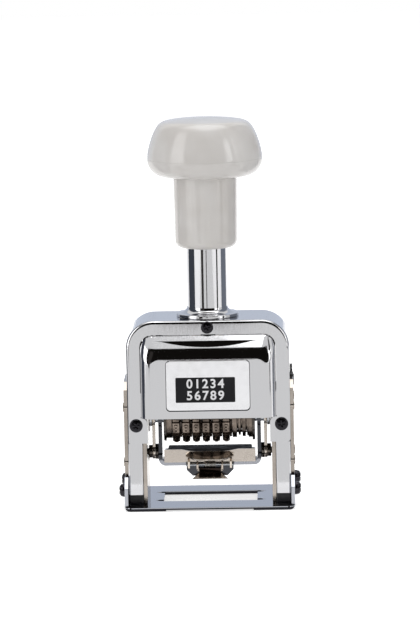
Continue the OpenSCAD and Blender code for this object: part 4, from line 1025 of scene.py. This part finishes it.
# %% Painted shade strip behind the wheels
strip_r, strip_left, strip_right, strip_wall = 11.2, -15.6, 17.0, 0.5
strip_from, strip_sweep = math.radians(10), math.radians(54)
start_y, start_z = strip_r * math.cos(strip_from), axle_z + strip_r * math.sin(strip_from)
strip_ends = [Vector((x, start_y, start_z)) * MM for x in (strip_left, strip_right)]
strip = drawn_line("wheel_back_strip", strip_ends)
edit_mesh(strip)
bpy.ops.mesh.select_all(action="SELECT")
bpy.ops.mesh.spin(steps=12, angle=strip_sweep, center=(0, 0, axle_z * MM), axis=(1, 0, 0))
leave_edit()
fix_normals(strip)
apply_modifier(strip, "SOLIDIFY", thickness=strip_wall * MM, offset=0)
broken_edges(strip, 0.1, 2, 50)
# The strip is painted shade, a dark sheet where the carriage lies in shade
dress(strip, dark_steel, "plunger", "dark_steel")

# %% [markdown]
# ## Springs
# A spring is wire wound on a mandrel. A curve with a round section would do, but a round section that
# is screwed round the axis gives an even helix at once.

# %% Wound wire
def wound(name, wire_r, coil_r, pitch_mm, curls, start, axis="Z"):
    """A helix in mm from start along the axis."""
    deselect()
    place, tilt = (coil_r * MM, 0, 0), (math.pi / 2, 0, 0)
    bpy.ops.mesh.primitive_circle_add(
        vertices=10, radius=wire_r * MM, fill_type="NGON", location=place, rotation=tilt
    )
    obj = named(name)
    settle(obj)
    rise = {"axis": "Z", "angle": 2 * math.pi, "screw_offset": pitch_mm * MM}
    apply_modifier(obj, "SCREW", iterations=curls, steps=28, use_normal_calculate=True, **rise)
    if axis == "X":
        obj.rotation_euler = (0, math.pi / 2, 0)
    obj.location = Vector(start) * MM
    settle(obj)
    fix_normals(obj, 0.000001)
    smooth(obj, 50)
    return obj


spring = wound("return_spring_wire", 0.55, 4.8, 4.22, 9, (0, 0, 77.55))
dress(spring, spring_steel, "frame", "spring_steel", "return_spring")
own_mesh(spring)
latch_wire = wound("latch_spring_wire", 0.22, 1.05, 0.56, 8, (-2.24, -8.6, 15.9), "X")
dress(latch_wire, spring_steel, "latch_lever", "spring_steel", "latch_spring")

# %% [markdown]
# ## Ink pad, tray and latch
# The pad is a slab of inked felt. It could be a plain block, but felt frays to soft edges, so its
# edges get the widest round.

# %% Ink pad
felt = copy_of("ink_pad", "felt_pad")
broken_edges(felt, 0.5, 4, 50)
dress(felt, pad_felt, "pad_tray", "pad_felt", "ink_pad")

# %% [markdown]
# The tray is bent sheet; its front plate carries the tongue, which is dished so that a finger finds
# it. The lever below it is pinched up to let go. Both are stamped, so their edges are nearly sharp.

# %% Tray and lever
tray = copy_of("pad_tray", "tray_sheet")
broken_edges(tray, 0.1, 2, 40)
dress(tray, tray_nickel_painted_reflection, "pad_tray", "nickel_sheet", "pad_tray")
lever = copy_of("latch_lever", "lever_sheet")
broken_edges(lever, 0.08, 2, 45)
dress(lever, lever_steel, "latch_lever", "dark_steel", "latch_lever")

# %% [markdown]
# ## Label
# A thin plate is stuck on the front cover. A dark sheet behind it, a little larger and set lower, is a
# painted shadow line round it. A printed film on the plate is a dark field with the ten digits that the
# wheels carry.

# %% Plate, painted shadow and field
plate = copy_of("label_plate", "label_plate_sheet")
broken_edges(plate, 0.2, 3, 50)
dress(plate, label_silver, "frame", "label_silver", "label_plate")
# Painted shadow: a dark copy of the plate, larger and lower, shows as a dark line round it, widest below
shadow_grow, shadow_back, shadow_down = (1.012, 1, 1.03), 0.4, 1.64
label_shadow_sheet = copy_of("label_plate", "label_painted_shadow")
label_shadow_sheet.location = (0, shadow_back * MM, -shadow_down * MM)
label_shadow_sheet.scale = shadow_grow
settle(label_shadow_sheet)
dress(label_shadow_sheet, label_black, "frame", "label_black")
film = copy_of("label_field", "label_film")
broken_edges(film, 0.05, 1, 50)
dress(film, label_black, "frame", "label_black", "label_field")

# %% [markdown]
# The digits could be painted on, but printed ink has an edge. So they are text, made a mesh 0.04 mm
# thick that lies on the film.

# %% Printed digits
digit_rows = (("01234", 50.25), ("56789", 45.55))
row_size, row_half, row_gap, row_swell = 5.0, 0.02, 1.25, 0.12
row_x, row_y = -1.0, -20.68
rows = []
for words, row_z in digit_rows:
    text = new_text(words, row_size, row_half, 4)
    text.space_character = row_gap
    text.offset = row_swell * MM
    bpy.ops.object.convert(target="MESH")
    row = named("digit_row")
    row.rotation_euler = (math.pi / 2, 0, 0)
    row.location = (row_x * MM, row_y * MM, row_z * MM)
    settle(row)
    rows.append(row)
printed = join("printed_digits", rows)
fix_normals(printed, 0.000001)
dress(printed, label_print, "frame", "label_silver")

# %% [markdown]
# ## Camera, floor and light
# The photograph is taken from in front, a little above, with a long lens. The camera stands 1.57 m
# away and is turned by about a degree, so that the object leans as it does there.

# %% Camera
turn_deg, rise_deg, roll_deg = 1.22, 8.08, -1.07
distance, lens_mm, sensor_mm = 1.574, 225.12, 36
aim = Vector((0.00096, 0, 0.0749))
turn, rise, roll = (math.radians(v) for v in (turn_deg, rise_deg, roll_deg))
back = Vector((math.sin(turn) * math.cos(rise), -math.cos(turn) * math.cos(rise), math.sin(rise)))
side = (-back).cross(Vector((0, 0, 1))).normalized()
up = back.cross(side)
side, up = side * math.cos(roll) + up * math.sin(roll), up * math.cos(roll) - side * math.sin(roll)
lens_data = bpy.data.cameras.new("camera")
lens_data.lens = lens_mm
lens_data.sensor_width = sensor_mm
camera = bpy.data.objects.new("camera", lens_data)
bpy.context.scene.collection.objects.link(camera)
axes = Matrix((side, up, back)).transposed().to_4x4()
camera.matrix_world = Matrix.Translation(aim + back * distance) @ axes
bpy.context.scene.camera = camera
print("camera at", [round(v, 3) for v in camera.location])

# %% [markdown]
# The floor and the world are white to the camera and to what metal mirrors, and light the object
# only at a plain level. The floor keeps the soft shadow, because part of its white is reflected light.

# %% Seen directly or in a mirror
def shown_share(tree):
    """1 for camera, glossy and transmission rays, 0 for the light that falls on the object."""
    seen = add_node(tree, "ShaderNodeLightPath")
    camera_ray, glossy_ray = seen.outputs["Is Camera Ray"], seen.outputs["Is Glossy Ray"]
    both = add_node(tree, "ShaderNodeMath", {0: camera_ray, 1: glossy_ray}, operation="ADD").outputs[0]
    passed = seen.outputs["Is Transmission Ray"]
    every = add_node(tree, "ShaderNodeMath", {0: both, 1: passed}, operation="ADD", use_clamp=True)
    return every.outputs[0]


# %% Floor
floor_size, floor_z, floor_glow = 6, -0.0002, 0.61
deselect()
bpy.ops.mesh.primitive_plane_add(size=floor_size, location=(0, 0, floor_z))
floor = named("floor")
settle(floor)
paint, tree, shader = finish_for("white_studio_floor", "#F2F2F2", 0.0, 0.9)
glow = add_node(tree, "ShaderNodeEmission", Strength=floor_glow)
none = add_node(tree, "ShaderNodeEmission", Strength=0.0)
shown = add_node(tree, "ShaderNodeMixShader", {0: shown_share(tree), 1: none.outputs[0], 2: glow.outputs[0]})
total = add_node(tree, "ShaderNodeAddShader", {0: shader.outputs[0], 1: shown.outputs[0]})
tree.links.new(total.outputs[0], tree.nodes["Material Output"].inputs["Surface"])
floor.data.materials.append(paint)

# %% [markdown]
# The world lights the object weakly and evenly from all sides, as the white walls of a studio do. The
# same switch shows it white wherever it is seen.

# %% World
room_light, seen_white = 0.36, 1.0
world = bpy.data.worlds.new("studio")
bpy.context.scene.world = world
world.use_nodes = True
tree = world.node_tree
tree.nodes.clear()
light = add_node(tree, "ShaderNodeBackground", Color=linear("#FFFFFF"), Strength=room_light)
white = add_node(tree, "ShaderNodeBackground", Color=linear("#FFFFFF"), Strength=seen_white)
mix = add_node(tree, "ShaderNodeMixShader", {0: shown_share(tree), 1: light.outputs[0], 2: white.outputs[0]})
add_node(tree, "ShaderNodeOutputWorld", {"Surface": mix.outputs[0]})
print("floor glow", floor_glow, "room light", room_light)

# %% [markdown]
# Bright metal shows only what stands round it. In the photograph that is a dark room high in front,
# dark sides and a blue-grey wall behind, with white between. Cards stand there that only mirrors see:
# they throw no shadow and no light.

# %% Cards for the metal to mirror
def card(name, hex_code, corners, strength=1.0):
    """A flat card through four corners in metres, seen by glossy rays alone."""
    deselect()
    bpy.ops.mesh.primitive_plane_add(size=1)
    obj = named(name)
    for vertex, place in zip(obj.data.vertices, (corners[0], corners[1], corners[3], corners[2])):
        vertex.co = place
    material = bpy.data.materials.new(name)
    material.use_nodes = True
    tree = material.node_tree
    tree.nodes.clear()
    face = add_node(tree, "ShaderNodeEmission", Color=linear(hex_code), Strength=strength)
    add_node(tree, "ShaderNodeOutputMaterial", {"Surface": face.outputs[0]})
    obj.data.materials.append(material)
    for ray in ("camera", "diffuse", "shadow", "transmission"):
        setattr(obj, f"visible_{ray}", False)


def standing(name, hex_code, left, right, height):
    """A card that stands on the floor between two points."""
    card(name, hex_code, [(*left, 0), (*right, 0), (*right, height), (*left, height)])


def lying(name, hex_code, places, z=0.001, strength=1.0):
    """A card that lies just above the floor."""
    card(name, hex_code, [(x, y, z) for x, y in places], strength)


room = [(-0.75, -0.9, 0.02), (0.75, -0.9, 0.02), (0.5, -0.45, 0.85), (-0.5, -0.45, 0.85)]
card("dark_room", "#161412", room)
standing("dark_left", "#4A4F59", (-0.32, -0.1), (-0.32, 0.22), 0.6)
lying("dark_left_low", "#4A4F59", [(-0.12, 0.0), (-0.12, 0.08), (-0.32, 0.22), (-0.32, -0.1)])
standing("grey_right", "#858B97", (0.32, 0.0), (0.32, 0.4), 0.6)
lying("grey_right_low", "#858B97", [(0.12, 0.0), (0.12, 0.1), (0.32, 0.4), (0.32, 0.0)])
lying("pale_floor", "#F6F6F6", [(-0.5, -0.95), (0.5, -0.95), (0.3, -0.06), (-0.3, -0.06)], strength=1.13)
wall_behind = [(-1.6, 1.5, 0.0), (1.6, 1.5, 0.0), (1.6, 1.1, 0.8), (-1.6, 1.1, 0.8)]
card("blue_wall", "#CDD5E4", wall_behind)
standing("thin_right", "#2A2828", (0.26, -0.17), (0.285, -0.13), 0.5)
lying("thin_centre", "#453B38", [(-0.045, -0.95), (0.02, -0.95), (0.01, -0.52), (-0.035, -0.52)], 0.002)
standing("thin_front", "#3A3735", (-0.20, -0.34), (-0.12, -0.38), 0.4)
print("cards stand")

# %% [markdown]
# Two softboxes stand left and right in front, and a weak one hangs above. They give the plastic its
# soft shape; the metal takes its looks from the cards.

# %% Lamps
def softbox(name, place, size, watts):
    """A soft lamp that faces the middle of the object."""
    data = bpy.data.lights.new(name, "AREA")
    data.shape = "RECTANGLE"
    data.size, data.size_y = size
    data.energy = watts
    lamp = bpy.data.objects.new(name, data)
    bpy.context.scene.collection.objects.link(lamp)
    lamp.location = place
    towards = Vector((0, 0, 0.08)) - Vector(place)
    lamp.rotation_euler = towards.to_track_quat("-Z", "Y").to_euler()


softbox("box_left", (-1.21, -0.88, 0.6), (0.86, 1.5), 8)
softbox("box_right", (1.25, -0.78, 0.55), (0.6, 0.9), 4)
softbox("top", (0.1, 0.1, 1.8), (1.4, 1.4), 15)

bpy.context.scene.view_settings.view_transform = "Standard"

# %% [markdown]
# Last, the view layer is brought up to date.

# %% The end
bpy.context.view_layer.update()
